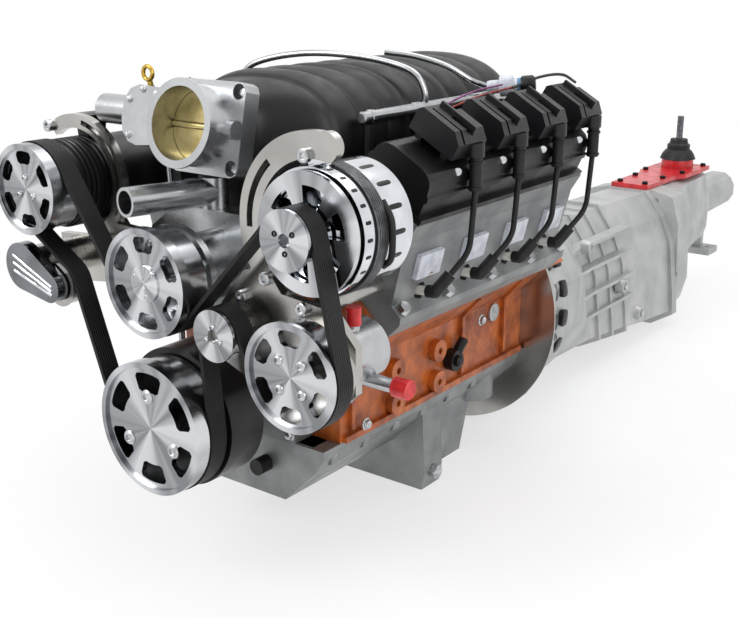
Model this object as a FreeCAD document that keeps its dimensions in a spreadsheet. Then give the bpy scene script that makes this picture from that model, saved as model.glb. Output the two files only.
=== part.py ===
"""Dressed V8 engine with its manual gearbox, in millimetres.

Every piece is drawn in the engine's front view: across (to the engine's left side, +X), up (+Z)
and forward (towards the pulleys, -Y), counted from the crank axis at the block's rear face.
The origin is the middle of the sump's flat bottom, below the crank axis.
"""
import FreeCAD
import Part
import math
import os
import Sketcher

os.makedirs("parts", exist_ok=True)
doc = FreeCAD.newDocument("DressedV8")
V = FreeCAD.Vector
FRONT_VIEW = FreeCAD.Rotation(V(1, 0, 0), 90)
TURN_AXIS = V(0, 0, 1)
FULL_TURN = 360.0
DEGREES = 180.0 / math.pi

SIZES = {
    # Datum
    "crank_height": 217.0,
    "running_gap": 0.5,
    "seat_gap": 0.3,
    # Block, bores and crankcase
    "block_length": 494.0,
    "bore_pitch": 111.76,
    "bore_radius": 51.6,
    "first_bore": 430.0,
    "bank_stagger": 24.0,
    "bank_angle": 45.0,
    "deck_distance": 234.7,
    "deck_inner": 66.0,
    "deck_outer": 78.0,
    "valley_width": 150.0,
    "valley_rise": 165.0,
    "skirt_half": 146.0,
    "skirt_waist": 178.0,
    "rail_drop": 57.0,
    "crankcase_half": 100.0,
    "crankcase_roof": 90.0,
    "cylinder_foot": 80.0,
    "web_thickness": 26.0,
    "cap_half": 62.0,
    "cap_depth": 52.0,
    "cam_rise": 124.8,
    "mount_boss_radius": 17.0,
    "mount_boss_height": 12.0,
    "mount_boss_rise": 30.0,
    "mount_boss_drop": 14.0,
    "mount_boss_front": 372.0,
    "mount_boss_pitch": 108.0,
    "mount_row_pitch": 50.0,
    "mount_hole_radius": 5.0,
    "mount_hole_depth": 22.0,
    "plug_radius": 14.7,
    "plug_rise": 33.0,
    "flank_top": 50.0,
    "waist_rise": 84.0,
    "plug_depth": 4.0,
    "rib_front": 468.0,
    "rib_middle": 188.0,
    "rib_back": 60.0,
    "rib_stand": 7.0,
    "ledge_height": 9.0,
    "ledge_back": 6.0,
    # Crank train
    "stroke": 92.0,
    "rod_length": 155.0,
    "piston_height": 33.5,
    "piston_skirt": 26.0,
    "main_radius": 32.5,
    "pin_radius": 27.0,
    "cheek_thickness": 18.0,
    "cheek_radius": 34.0,
    "weight_radius": 78.0,
    "snout_radius": 19.0,
    "rear_flange_radius": 40.0,
    "rear_flange_thickness": 8.0,
    "cam_journal": 27.5,
    "cam_core": 15.0,
    "lobe_radius": 17.0,
    "lobe_offset": 7.0,
    "lobe_width": 13.0,
    "crank_sprocket": 30.0,
    "sprocket_thickness": 8.0,
    "sprocket_stand": 10.0,
    "chain_thickness": 7.0,
    "chain_width": 12.0,
    "flywheel_radius": 165.0,
    "flywheel_thickness": 26.0,
    "clutch_radius": 142.0,
    "clutch_depth": 45.0,
    # Timing cover
    "cover_depth": 36.0,
    "cover_half": 96.0,
    "cover_top": 206.0,
    "cover_wall": 7.0,
    # Oil pan
    "pan_flange": 12.0,
    "pan_front_depth": 148.0,
    "pan_front_half": 76.0,
    "pan_wall": 6.0,
    "pan_lug_back": 132.0,
    "pan_lug_width": 16.0,
    "pan_lug_drop": 14.0,
    "pan_lug_run": 360.0,
    "pan_lug_count": 6.0,
    "sump_front": 276.0,
    "sump_back": 108.0,
    "sump_wing_back": 226.0,
    "sump_wing_half": 140.0,
    "sump_half": 98.0,
    "drain_radius": 11.0,
    "filter_boss_radius": 40.0,
    "filter_boss_depth": 26.0,
    # Heads and valve covers
    "gasket_gap": 0.3,
    "head_length": 446.0,
    "head_front": -4.0,
    "bolt_ledge": 271.0,
    "bolt_line": 62.5,
    "rail_angle": 30.0,
    "rail_level": 360.5,
    "rail_inner": 20.0,
    "rail_outer": 98.0,
    "cover_rise": 62.0,
    "cover_draft": 17.0,
    "cover_step": 4.0,
    "rim_height": 8.0,
    "cover_length": 436.0,
    "port_half_width": 27.0,
    "port_half_height": 17.0,
    "port_plate": 7.0,
    "port_foot": 52.0,
    "port_head": 8.0,
    "port_top": 345.0,
    "bolt_head_radius": 9.0,
    "bolt_head_height": 11.0,
    # Ignition
    "coil_across": 34.0,
    "coil_width": 74.0,
    "coil_length": 66.0,
    "coil_ahead": 26.0,
    "coil_height": 34.0,
    "coil_first": 375.0,
    "coil_stand": 9.0,
    "lead_radius": 4.0,
    "boot_radius": 8.5,
    # Intake and throttle
    "intake_front": -1.0,
    "intake_back": 24.0,
    "intake_top": 431.0,
    "hump_rise": 9.0,
    "hump_width": 36.0,
    "hump_count": 8.0,
    "throttle_rise": 384.0,
    "throttle_face": 134.0,
    "throttle_tilt": 12.0,
    "throttle_bore": 46.0,
    "throttle_half": 60.0,
    "throttle_depth": 78.0,
    "throttle_lip": 10.0,
    "throttle_lip_depth": 5.0,
    "throttle_wall": 6.0,
    "throttle_flange": 26.0,
    "throttle_corner": 12.0,
    "bolt_pocket": 10.0,
    "motor_radius": 20.0,
    "motor_length": 78.0,
    "shaft_radius": 5.0,
    "blade_thickness": 3.0,
    "rail_radius": 8.5,
    "rail_across": 146.0,
    "rail_height": 382.0,
    "rail_front": 445.0,
    "rail_back": 60.0,
    "injector_radius": 6.5,
    # Front drive
    "belt_plane": 176.0,
    "belt_width": 28.0,
    "belt_thickness": 5.0,
    "rim_wall": 6.0,
    "rim_lip": 7.0,
    "web_recess": 4.0,
    "pulley_web": 8.0,
    "window_inner": 0.56,
    "window_outer": 0.84,
    "window_half_angle": 19.0,
    "window_corner": 4.0,
    "crank_seat": 86.0,
    "crank_face_radius": 90.0,
    "crank_face": 212.0,
    "pump_seat": 66.0,
    "pump_face_radius": 70.5,
    "pump_face": 206.0,
    "pump_rise": 193.0,
    "pump_arm_front": 71.0,
    "pump_nose": 142.0,
    "steering_seat": 63.0,
    "steering_face_radius": 67.5,
    "steering_face": 197.0,
    "steering_across": 227.0,
    "steering_rise": 117.0,
    "cooler_seat": 57.0,
    "cooler_face_radius": 61.0,
    "cooler_face": 209.0,
    "cooler_across": -220.0,
    "cooler_rise": 286.0,
    "nose_seat": 31.0,
    "nose_face_radius": 36.0,
    "nose_face": 196.0,
    "alternator_across": 224.5,
    "alternator_rise": 279.0,
    "idler_seat": 29.0,
    "idler_face_radius": 33.0,
    "idler_face": 196.0,
    "idler_across": 108.0,
    "idler_rise": 144.0,
    "tensioner_seat": 28.0,
    "tensioner_across": -185.0,
    "tensioner_rise": 157.0,
    "pivot_across": -240.0,
    "pivot_rise": 178.0,
    "arm_large": 33.0,
    "arm_small": 21.0,
    "arm_face": 210.0,
    "arm_thickness": 16.0,
    "damper_radius": 95.0,
    "damper_length": 60.0,
    "damper_hub": 28.0,
    "fit_gap": 0.05,
    "shaft_radius_small": 8.0,
    # Accessories
    "fan_radius": 73.0,
    "fan_face": 159.0,
    "fan_thickness": 8.0,
    "frame_radius": 76.0,
    "frame_front": 147.0,
    "stator_front": 125.0,
    "stator_back": 104.0,
    "frame_back": 54.0,
    "plate_front": 143.0,
    "plate_thickness": 12.0,
    "arc_inner": 84.0,
    "arc_outer": 116.0,
    "arm_boss_radius": 18.0,
    "pump_body_radius": 40.0,
    "pump_body_back": 51.0,
    "compressor_radius": 58.0,
    "compressor_front": 158.0,
    "compressor_back": 11.0,
    "cooler_plate_front": 118.0,
    "arm_arc_inner": 72.0,
    "arm_arc_outer": 91.0,
    # Dipstick
    "guide_radius": 5.0,
    "stick_radius": 2.1,
    "stick_depth": 38.0,
    # Gearbox
    "bell_radius": 211.0,
    "bell_wall": 9.0,
    "bell_depth": 170.0,
    "case_half": 131.0,
    "case_top": 88.0,
    "case_bottom": 215.0,
    "case_length": 750.0,
    "case_waist": 118.0,
    "case_rise_front": 96.0,
    "case_drop_front": 160.0,
    "rear_plate": 80.0,
    "flange_lip": 7.0,
    "flange_width": 12.0,
    "rib_height": 7.0,
    "rib_width": 7.0,
    "tail_radius": 52.0,
    "tail_length": 1330.0,
    "lid_front": 752.0,
    "lid_back": 1095.0,
    "lid_half": 58.0,
    "lid_neck": 44.0,
    "lid_thickness": 10.0,
    "tower_radius": 38.0,
    "tower_height": 22.0,
    "lever_station": 1030.0,
    "boot_height": 52.0,
    "lever_radius": 7.5,
    "ball_radius": 12.0,
    "tower_mouth": 17.0,
    "boot_wall": 5.0,
    "boot_waist": 27.0,
    "lever_top": 222.0,
    "output_radius": 19.0,
    "output_step": 2.0,
    "output_reach": 40.0,
    "pad_half": 62.0,
    "pad_thickness": 16.0,
    "pad_station": 1165.0,
    "pad_drop": 140.0,
    "pad_hole_radius": 6.0,
    "pad_hole_pitch": 90.0,
    "dust_plate": 3.0,
}


class Size:
    """A number that remembers the sheet expression it comes from."""

    def __init__(self, value, text):
        self.value = value
        self.text = text

    def __float__(self):
        return self.value

    def __add__(self, other):
        return combine(self, "+", other)

    def __radd__(self, other):
        return combine(other, "+", self)

    def __sub__(self, other):
        return combine(self, "-", other)

    def __rsub__(self, other):
        return combine(other, "-", self)

    def __mul__(self, other):
        return combine(self, "*", other)

    def __rmul__(self, other):
        return combine(other, "*", self)

    def __truediv__(self, other):
        return combine(self, "/", other)

    def __neg__(self):
        return combine(-1.0, "*", self)


def text_of(number):
    """The expression text of a size or of a plain number."""
    return number.text if isinstance(number, Size) else f"({float(number)})"


def combine(left, sign, right):
    """Join two numbers by one sign, in value and in expression text."""
    one = float(left)
    two = float(right)
    results = {"+": lambda: one + two, "-": lambda: one - two, "*": lambda: one * two, "/": lambda: one / two}
    return Size(results[sign](), f"({text_of(left)} {sign} {text_of(right)})")


def sine(degrees):
    return Size(math.sin(math.radians(float(degrees))), f"sin({text_of(degrees)} * 1 deg)")


def cosine(degrees):
    return Size(math.cos(math.radians(float(degrees))), f"cos({text_of(degrees)} * 1 deg)")


class Sheet:
    """The spreadsheet of driving sizes, read by name."""

    def __init__(self, rows):
        self.table = doc.addObject("Spreadsheet::Sheet", "Sizes")
        for row, (name, value) in enumerate(rows.items(), start=1):
            self.table.set(f"A{row}", name)
            self.table.set(f"B{row}", str(value))
            self.table.setAlias(f"B{row}", name)
        doc.recompute()

    def __getattr__(self, name):
        return Size(float(self.table.get(name)), f"Sizes.{name}")


s = Sheet(SIZES)
parts = []


def bind(feature, name, value):
    """Set one property and tie it to the sheet when its value comes from there."""
    if isinstance(value, Size):
        feature.setExpression(name, value.text)
    else:
        setattr(feature, name, value)


def tie_base(feature, root, spot):
    """Tie the three coordinates of a placement to the sheet."""
    for letter, value in zip("xyz", spot):
        if isinstance(value, Size):
            feature.setExpression(f"{root}.Base.{letter}", value.text)


def point(spot):
    return V(float(spot[0]), float(spot[1]), float(spot[2]))


REAR_FACE = (s.sump_front + s.sump_back) / 2


def place(item, across=0, up=0, forward=0, turn=0.0, tilt=0.0):
    """Stand a front-view piece in the engine: turn about the forward axis, tilt about the cross axis."""
    spot = (across, REAR_FACE - forward, s.crank_height + up)
    turned = FreeCAD.Rotation(TURN_AXIS, turn).multiply(FreeCAD.Rotation(V(1, 0, 0), -tilt))
    item.Placement = FreeCAD.Placement(point(spot), FRONT_VIEW.multiply(turned))
    tie_base(item, "Placement", spot)


def new_body(name, across=0, up=0, forward=0, turn=0.0, tilt=0.0):
    """A body in the front view: local X across, Y up, Z forward."""
    body = doc.addObject("PartDesign::Body", name)
    body.Label = name
    body.AllowCompound = True
    place(body, across, up, forward, turn, tilt)
    parts.append(body)
    return body


def new_shape(name, shape, across=0, up=0, forward=0, turn=0.0, tilt=0.0):
    """A piece whose form is computed from the sheet, drawn in the same front view."""
    item = doc.addObject("Part::Feature", name)
    item.Label = name
    item.Shape = shape
    place(item, across, up, forward, turn, tilt)
    parts.append(item)
    return item


def origin_part(body, role):
    return next(item for item in body.Origin.OriginFeatures if item.Role == role)


def new_sketch(body, plane="XY_Plane", offset=0):
    """A sketch on one of the body's own origin planes, moved along its normal."""
    sketch = body.newObject("Sketcher::SketchObject", f"{body.Name}_sketch")
    sketch.AttachmentSupport = [(origin_part(body, plane), "")]
    sketch.MapMode = "FlatFace"
    sketch.AttachmentOffset = FreeCAD.Placement(V(0, 0, float(offset)), FreeCAD.Rotation())
    tie_base(sketch, "AttachmentOffset", (0, 0, offset))
    return sketch


def pin(sketch, element, end, spot):
    """Tie one sketch point to the sheet by its two coordinates."""
    for kind, axis, value in (("DistanceX", -2, spot[0]), ("DistanceY", -1, spot[1])):
        if float(value) == 0.0 and not isinstance(value, Size):
            sketch.addConstraint(Sketcher.Constraint("PointOnObject", element, end, axis))
        else:
            rule = sketch.addConstraint(Sketcher.Constraint(kind, -1, 1, element, end, float(value)))
            if isinstance(value, Size):
                sketch.setExpression(f"Constraints[{rule}]", value.text)


def polygon(sketch, corners):
    """A closed straight outline through corners that are tied to the sheet."""
    first = sketch.GeometryCount
    count = len(corners)
    spots = [V(float(a), float(b), 0) for a, b in corners]
    sketch.addGeometry([Part.LineSegment(spots[i], spots[(i + 1) % count]) for i in range(count)], False)
    joins = [Sketcher.Constraint("Coincident", first + i, 2, first + (i + 1) % count, 1) for i in range(count)]
    sketch.addConstraint(joins)
    for i, corner in enumerate(corners):
        pin(sketch, first + i, 1, corner)
    return sketch


def mirrored(corners):
    """The corners of one side, followed by the same on the other side."""
    return list(corners) + [(-a, b) for a, b in reversed(corners)]


def circle(sketch, across, up, radius):
    """A circle with its centre and radius tied to the sheet."""
    spot = V(float(across), float(up), 0)
    element = sketch.addGeometry(Part.Circle(spot, TURN_AXIS, float(radius)), False)
    pin(sketch, element, 3, (across, up))
    rule = sketch.addConstraint(Sketcher.Constraint("Radius", element, float(radius)))
    if isinstance(radius, Size):
        sketch.setExpression(f"Constraints[{rule}]", radius.text)
    return sketch


def sector(sketch, inner, outer, half_angle, corner):
    """A window between two arcs about the origin and two radial sides, with its four corners taken off."""
    rims = []
    for radius, way in ((outer, -1), (inner, 1)):
        reach = half_angle - corner / radius * DEGREES
        lean = math.radians(float(reach))
        ring = Part.Circle(V(0, 0, 0), TURN_AXIS, float(radius))
        arc = sketch.addGeometry(Part.ArcOfCircle(ring, math.pi / 2 - lean, math.pi / 2 + lean), False)
        sketch.addConstraint(Sketcher.Constraint("Coincident", arc, 3, -1, 1))
        rule = sketch.addConstraint(Sketcher.Constraint("Radius", arc, float(radius)))
        sketch.setExpression(f"Constraints[{rule}]", text_of(radius))
        for arc_end, sign in ((1, 1), (2, -1)):
            across = sign * radius * sine(reach)
            rule = sketch.addConstraint(Sketcher.Constraint("DistanceX", -1, 1, arc, arc_end, float(across)))
            sketch.setExpression(f"Constraints[{rule}]", across.text)
        rims.append((arc, radius, lean, radius + way * corner))
    for sign, arc_end in ((1, 1), (-1, 2)):
        spots = [(sign * length * sine(half_angle), length * cosine(half_angle)) for _, _, _, length in rims]
        tips = [V(float(x), float(y), 0) for x, y in spots]
        side = sketch.addGeometry(Part.LineSegment(*tips), False)
        for (arc, radius, lean, _), line_end, tip, spot in zip(rims, (1, 2), tips, spots):
            pin(sketch, side, line_end, spot)
            touch = V(sign * float(radius) * math.sin(lean), float(radius) * math.cos(lean), 0)
            cut = sketch.addGeometry(Part.LineSegment(touch, tip), False)
            sketch.addConstraint(Sketcher.Constraint("Coincident", cut, 1, arc, arc_end))
            sketch.addConstraint(Sketcher.Constraint("Coincident", cut, 2, side, line_end))
    return sketch


def pad(body, sketch, length, reverse=False):
    """Material from the sketch's plane towards the front, or to the rear when reversed."""
    feature = body.newObject("PartDesign::Pad", f"{body.Name}_pad")
    feature.Profile = sketch
    bind(feature, "Length", length)
    feature.Reversed = reverse
    sketch.Visibility = False
    return feature


def pocket(body, sketch, length, reverse=False):
    """A cut from the sketch's plane to the rear, or towards the front when reversed."""
    feature = body.newObject("PartDesign::Pocket", f"{body.Name}_pocket")
    feature.Profile = sketch
    bind(feature, "Length", length)
    feature.Reversed = reverse
    return feature


def revolve(body, corners):
    """A turned piece from its half section: distance from the forward axis, then place along it."""
    sketch = polygon(new_sketch(body, "XZ_Plane"), corners)
    feature = body.newObject("PartDesign::Revolution", f"{body.Name}_turn")
    feature.Profile = sketch
    feature.ReferenceAxis = (sketch, ["V_Axis"])
    feature.Angle = FULL_TURN
    return feature


def around(body, feature, count):
    """Repeat a feature evenly about the forward axis."""
    pattern = body.newObject("PartDesign::PolarPattern", f"{body.Name}_ring")
    pattern.Originals = [feature]
    pattern.Axis = (origin_part(body, "Z_Axis"), [""])
    pattern.Angle = FULL_TURN
    pattern.Occurrences = int(count)
    body.Tip = pattern
    return pattern


def along(body, feature, length, count):
    """Repeat a feature evenly towards the rear, over a whole length."""
    pattern = body.newObject("PartDesign::LinearPattern", f"{body.Name}_row")
    pattern.Originals = [feature]
    pattern.Direction = (origin_part(body, "Z_Axis"), [""])
    pattern.Reversed = True
    bind(pattern, "Length", length)
    pattern.Occurrences = int(count)
    body.Tip = pattern
    return pattern


def primitive(body, kind, sizes, spot=(0, 0, 0), rotation=None):
    """A PartDesign primitive, its sizes and its place tied to the sheet."""
    feature = body.newObject(f"PartDesign::{kind}", f"{body.Name}_{kind}")
    for name, value in sizes.items():
        bind(feature, name, value)
    feature.Placement = FreeCAD.Placement(point(spot), rotation or FreeCAD.Rotation())
    tie_base(feature, "Placement", spot)
    return feature


def rod(start, end, radius):
    """A round bar between two points."""
    a = point(start)
    b = point(end)
    return Part.makeCylinder(float(radius), (b - a).Length, a, b - a)


def tube_path(corners, bend_share=0.45):
    """Straight runs joined by tangent arcs, each arc as large as the shorter run allows."""
    spots = [point(corner) for corner in corners]
    edges = []
    radii = []
    last = spots[0]
    for before, here, after in zip(spots, spots[1:], spots[2:]):
        into = (here - before).normalize()
        out = (after - here).normalize()
        turn = into.getAngle(out)
        run = min((here - before).Length, (after - here).Length)
        setback = bend_share * run
        radii.append(setback / math.tan(turn / 2))
        enter = here - into * setback
        leave = here + out * setback
        bulge = (out - into).normalize()
        reach = radii[-1] / math.cos(turn / 2) - radii[-1]
        edges.append(Part.LineSegment(last, enter).toShape())
        edges.append(Part.Arc(enter, here + bulge * reach, leave).toShape())
        last = leave
    edges.append(Part.LineSegment(last, spots[-1]).toShape())
    return Part.Wire(edges), radii


def tube(corners, radius):
    """A round cord or pipe along a route, with its smallest bend radius."""
    wire, radii = tube_path(corners)
    start = point(corners[0])
    ring = Part.Circle(start, point(corners[1]) - start, float(radius)).toShape()
    solid = wire.makePipe(Part.Face(Part.Wire([ring])))
    return solid, min(radii), wire.Length


# Pulleys: name -> across, up, seat radius, and whether the belt's ribs face it
BELT_ROUTE = [
    (0, 0, s.crank_seat, True),
    (s.tensioner_across, s.tensioner_rise, s.tensioner_seat, False),
    (s.cooler_across, s.cooler_rise, s.cooler_seat, True),
    (0, s.pump_rise, s.pump_seat, False),
    (s.alternator_across, s.alternator_rise, s.nose_seat, True),
    (s.steering_across, s.steering_rise, s.steering_seat, True),
    (s.idler_across, s.idler_rise, s.idler_seat, False),
]


def belt_loop(route, offset):
    """The closed wire of a belt, offset outwards from every seat that it wraps from inside."""
    rings = []
    for across, up, seat, inside in route:
        side = 1 if inside else -1
        rings.append((V(float(across), float(up), 0), float(seat) + side * offset, side))
    touches = []
    for (a, ra, sa), (b, rb, sb) in zip(rings, rings[1:] + rings[:1]):
        gap = b - a
        heading = math.atan2(gap.y, gap.x)
        lean = math.asin((sb * rb - sa * ra) / gap.Length)
        normal = heading + math.pi / 2 + lean
        leave = a + V(math.cos(normal), math.sin(normal), 0) * (sa * ra)
        enter = b + V(math.cos(normal), math.sin(normal), 0) * (sb * rb)
        touches.append((leave, enter))
    edges = []
    for i, (centre, radius, side) in enumerate(rings):
        start = touches[i - 1][1]
        end = touches[i][0]
        begin = math.atan2(start.y - centre.y, start.x - centre.x)
        finish = math.atan2(end.y - centre.y, end.x - centre.x)
        sweep = (begin - finish) % (2 * math.pi) if side > 0 else -((finish - begin) % (2 * math.pi))
        middle = begin - sweep / 2
        mid = centre + V(math.cos(middle), math.sin(middle), 0) * radius
        edges.append(Part.Arc(start, mid, end).toShape())
        edges.append(Part.LineSegment(end, touches[i][1]).toShape())
    return Part.Wire(Part.__sortEdges__(edges))


def belt_solid(route, thickness, width, gap):
    """A flat belt of even thickness that runs clear of its seats."""
    inner = Part.Face(belt_loop(route, gap))
    outer = Part.Face(belt_loop(route, gap + thickness))
    return outer.cut(inner).extrude(V(0, 0, width))


def ahead(distance):
    """The station of something that stands a distance ahead of the block's front face."""
    return s.block_length + distance


def windowed_pulley(name, across, up, face, face_radius, seat, hub, hub_end, count):
    """A billet pulley: lipped face, recessed web with windows, drum and belt seat."""
    body = new_body(name, across, up, face)
    back = ahead(s.belt_plane) - s.belt_width / 2 - 2.0 - face
    band = ahead(s.belt_plane) + s.belt_width / 2 + 1.5 - face
    web_back = -(s.web_recess + s.pulley_web)
    revolve(body, [
        (0, -s.web_recess), (face_radius - s.rim_lip, -s.web_recess), (face_radius - s.rim_lip, 0),
        (face_radius, 0), (face_radius, band), (seat, band), (seat, back), (seat - s.rim_wall, back),
        (seat - s.rim_wall, web_back), (hub, web_back), (hub, hub_end - face), (0, hub_end - face)])
    window = sector(new_sketch(body), face_radius * s.window_inner, face_radius * s.window_outer,
                    s.window_half_angle, s.window_corner)
    around(body, pocket(body, window, s.web_recess + s.pulley_web + 1.0), count)
    return body


BANKS = (("left", 1, s.first_bore), ("right", -1, s.first_bore - s.bank_stagger))
FOUR = 4


def bank_box(body, side, across, level, forward, sizes, kind="SubtractiveCylinder"):
    """A cylinder along a bank's axis, at a distance across and along that axis."""
    slope = FreeCAD.Rotation(V(0, 0, 1), -side * float(s.bank_angle))
    tip = slope.multiply(FreeCAD.Rotation(V(1, 0, 0), -90))
    lean = sine(s.bank_angle) * side
    upright = cosine(s.bank_angle)
    spot = (lean * level + upright * across * side, upright * level - lean * side * across, forward)
    return primitive(body, kind, sizes, spot, tip)


# Engine block: one iron casting with a deep skirt, eight bores and five bearing webs
block = new_body("engine_block")
half_slope = sine(s.bank_angle)
deck_out = ((s.deck_distance + s.deck_outer) * half_slope, (s.deck_distance - s.deck_outer) * half_slope)
deck_in = ((s.deck_distance - s.deck_inner) * half_slope, (s.deck_distance + s.deck_inner) * half_slope)
outline = [(s.skirt_half, -s.rail_drop), (s.skirt_half, s.flank_top), (s.skirt_waist, s.waist_rise), deck_out, deck_in,
           (s.valley_width / 2, s.valley_rise)]
pad(block, polygon(new_sketch(block), mirrored(outline)), s.block_length)
main_first = s.first_bore - s.bank_stagger / 2 + s.bore_pitch / 2
main_last = main_first - s.bore_pitch * FOUR
bay = polygon(new_sketch(block, offset=main_first - s.web_thickness / 2), mirrored([
    (s.crankcase_half, -s.rail_drop - 1.0), (s.crankcase_half, 22.0), (s.crankcase_half * 0.6, s.crankcase_roof)]))
bays = pocket(block, bay, s.bore_pitch - s.web_thickness)
along(block, bays, s.bore_pitch * (FOUR - 1), FOUR)
saddle = polygon(new_sketch(block, offset=s.block_length + 1.0), mirrored([
    (s.cap_half, -s.rail_drop - 1.0), (s.cap_half, 0.0)]))
pocket(block, saddle, s.block_length + 2.0)
tunnel = circle(new_sketch(block, offset=s.block_length + 1.0), 0, 0, s.main_radius + s.running_gap)
pocket(block, tunnel, s.block_length + 2.0)
cam_tunnel = circle(new_sketch(block, offset=s.block_length + 1.0), 0, s.cam_rise, s.cam_journal + s.running_gap)
pocket(block, cam_tunnel, s.block_length + 2.0)
for bank, side, first in BANKS:
    bore = bank_box(block, side, 0, s.cylinder_foot, first,
                    {"Radius": s.bore_radius, "Height": s.deck_distance - s.cylinder_foot + 1.0})
    along(block, bore, s.bore_pitch * (FOUR - 1), FOUR)
boss_turn = {1: FreeCAD.Rotation(V(0, 1, 0), 90), -1: FreeCAD.Rotation(V(0, 1, 0), -90)}
for side in (1, -1):
    for forward in (s.mount_boss_front, s.mount_boss_front - s.mount_boss_pitch):
        for rise in (s.mount_boss_rise, s.mount_boss_rise - s.mount_row_pitch):
            seat = (side * (s.skirt_half - 2.0), rise - s.mount_boss_drop, forward)
            primitive(block, "AdditiveCylinder", {"Radius": s.mount_boss_radius,
                      "Height": s.mount_boss_height + 2.0}, seat, boss_turn[side])
            face = (side * (s.skirt_half + s.mount_boss_height - s.mount_hole_depth), rise - s.mount_boss_drop,
                    forward)
            primitive(block, "SubtractiveCylinder", {"Radius": s.mount_hole_radius,
                      "Height": s.mount_hole_depth + 1.0}, face, boss_turn[side])

for side in (1, -1):
    for forward in (s.rib_front, s.rib_middle, s.rib_back):
        web = polygon(new_sketch(block, offset=forward), [
            (side * (s.skirt_half - 8.0), -s.rail_drop + 4.0), (side * (s.skirt_half + s.rib_stand), -s.rail_drop + 16.0),
            (side * (s.skirt_half + s.rib_stand), s.flank_top), (side * (s.skirt_waist + s.rib_stand * 0.6), s.waist_rise),
            (side * (s.skirt_waist - 5.0), s.waist_rise + 1.0), (side * (s.skirt_half - 8.0), s.flank_top - 8.0)])
        pad(block, web, s.rib_width)
    ledge = polygon(new_sketch(block, offset=s.ledge_back), [
        (side * (s.skirt_half - 8.0), -s.rail_drop), (side * (s.skirt_half + s.rib_stand), -s.rail_drop),
        (side * (s.skirt_half + s.rib_stand), s.ledge_height - s.rail_drop), (side * (s.skirt_half - 8.0),
                                                                             s.ledge_height - s.rail_drop)])
    pad(block, ledge, s.block_length - s.ledge_back * 2)

# Main bearing caps: five iron caps in the block's register
caps = new_body("main_caps")
cap = polygon(new_sketch(caps, offset=main_first - s.web_thickness / 2), mirrored([
    (s.cap_half - s.seat_gap, -s.cap_depth), (s.cap_half - s.seat_gap, -0.02)]))
cap_pad = pad(caps, cap, s.web_thickness)
along(caps, cap_pad, s.bore_pitch * FOUR, FOUR + 1)
cap_bore = circle(new_sketch(caps, offset=s.block_length + 1.0), 0, 0, s.main_radius + s.running_gap)
pocket(caps, cap_bore, s.block_length + 2.0)

# Core plugs and drain plug: pressed steel cups on the flanks, screw in the sump's side
plugs = []
for side in (1, -1):
    for index in (0, FOUR - 1):
        station = s.first_bore - s.bore_pitch * index
        plugs.append(rod((side * (s.skirt_half + s.seat_gap), s.plug_rise, station),
                         (side * (s.skirt_half + s.seat_gap + s.plug_depth), s.plug_rise, station), s.plug_radius))
drain_station = s.sump_wing_back + 25.0
drain_level = -(s.crank_height - 26.0)
plugs.append(rod((s.sump_wing_half + s.seat_gap, drain_level, drain_station),
                 (s.sump_wing_half + 10.0, drain_level, drain_station), s.drain_radius))
new_shape("block_plugs", Part.makeCompound(plugs))


def crank_throw(angle, forward):
    """One bay of the crankshaft: a pin between two cheeks that carry the counterweights."""
    reach = float(s.stroke) / 2
    bay_length = float(s.bore_pitch - s.web_thickness)
    cheek = float(s.cheek_thickness)
    away = V(math.sin(math.radians(angle)), math.cos(math.radians(angle)), 0)
    pin_centre = away * reach + V(0, 0, forward)
    web = Part.makeCylinder(float(s.cheek_radius), cheek, pin_centre)
    web = web.fuse(Part.makeCylinder(float(s.main_radius) + 4.0, cheek, V(0, 0, forward)))
    weight = Part.makeCylinder(float(s.weight_radius), cheek, V(0, 0, forward), TURN_AXIS, 130.0)
    weight.rotate(V(0, 0, forward), TURN_AXIS, 270.0 - angle - 65.0)
    side = V(away.y, -away.x, 0) * float(s.cheek_radius)
    bridge = Part.makePolygon([pin_centre + side, pin_centre - side, V(0, 0, forward) - side,
                               V(0, 0, forward) + side, pin_centre + side])
    web = web.fuse([weight, Part.Face(bridge).extrude(V(0, 0, cheek))])
    other = web.copy()
    other.translate(V(0, 0, bay_length - cheek - 1.0))
    pin_bar = Part.makeCylinder(float(s.pin_radius), bay_length - 2.0, pin_centre)
    return web.fuse([other, pin_bar])


# Crankshaft: forged, four throws a quarter turn apart, five mains, rear flange, timing sprocket and snout
THROWS = (180.0, 270.0, 90.0, 0.0)
snout_end = ahead(s.belt_plane) - s.belt_width / 2 - 8.0
bars = [rod((0, 0, -s.rear_flange_thickness), (0, 0, s.web_thickness / 2), s.rear_flange_radius * 0.8),
        rod((0, 0, -s.rear_flange_thickness), (0, 0, -0.5), s.rear_flange_radius),
        rod((0, 0, main_first - s.web_thickness), (0, 0, snout_end), s.snout_radius)]
sprocket_back = s.block_length + s.sprocket_stand
bars.append(rod((0, 0, sprocket_back), (0, 0, sprocket_back + s.sprocket_thickness), s.crank_sprocket))
for index in range(FOUR + 1):
    middle = main_last + s.bore_pitch * index
    bars.append(rod((0, 0, middle - s.web_thickness / 2 - 1.0), (0, 0, middle + s.web_thickness / 2 + 1.0),
                    s.main_radius))
for index, angle in enumerate(THROWS):
    bars.append(crank_throw(angle, float(main_last + s.bore_pitch * index + s.web_thickness / 2) + 1.0))
new_shape("crankshaft", bars[0].fuse(bars[1:]).removeSplitter())

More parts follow.
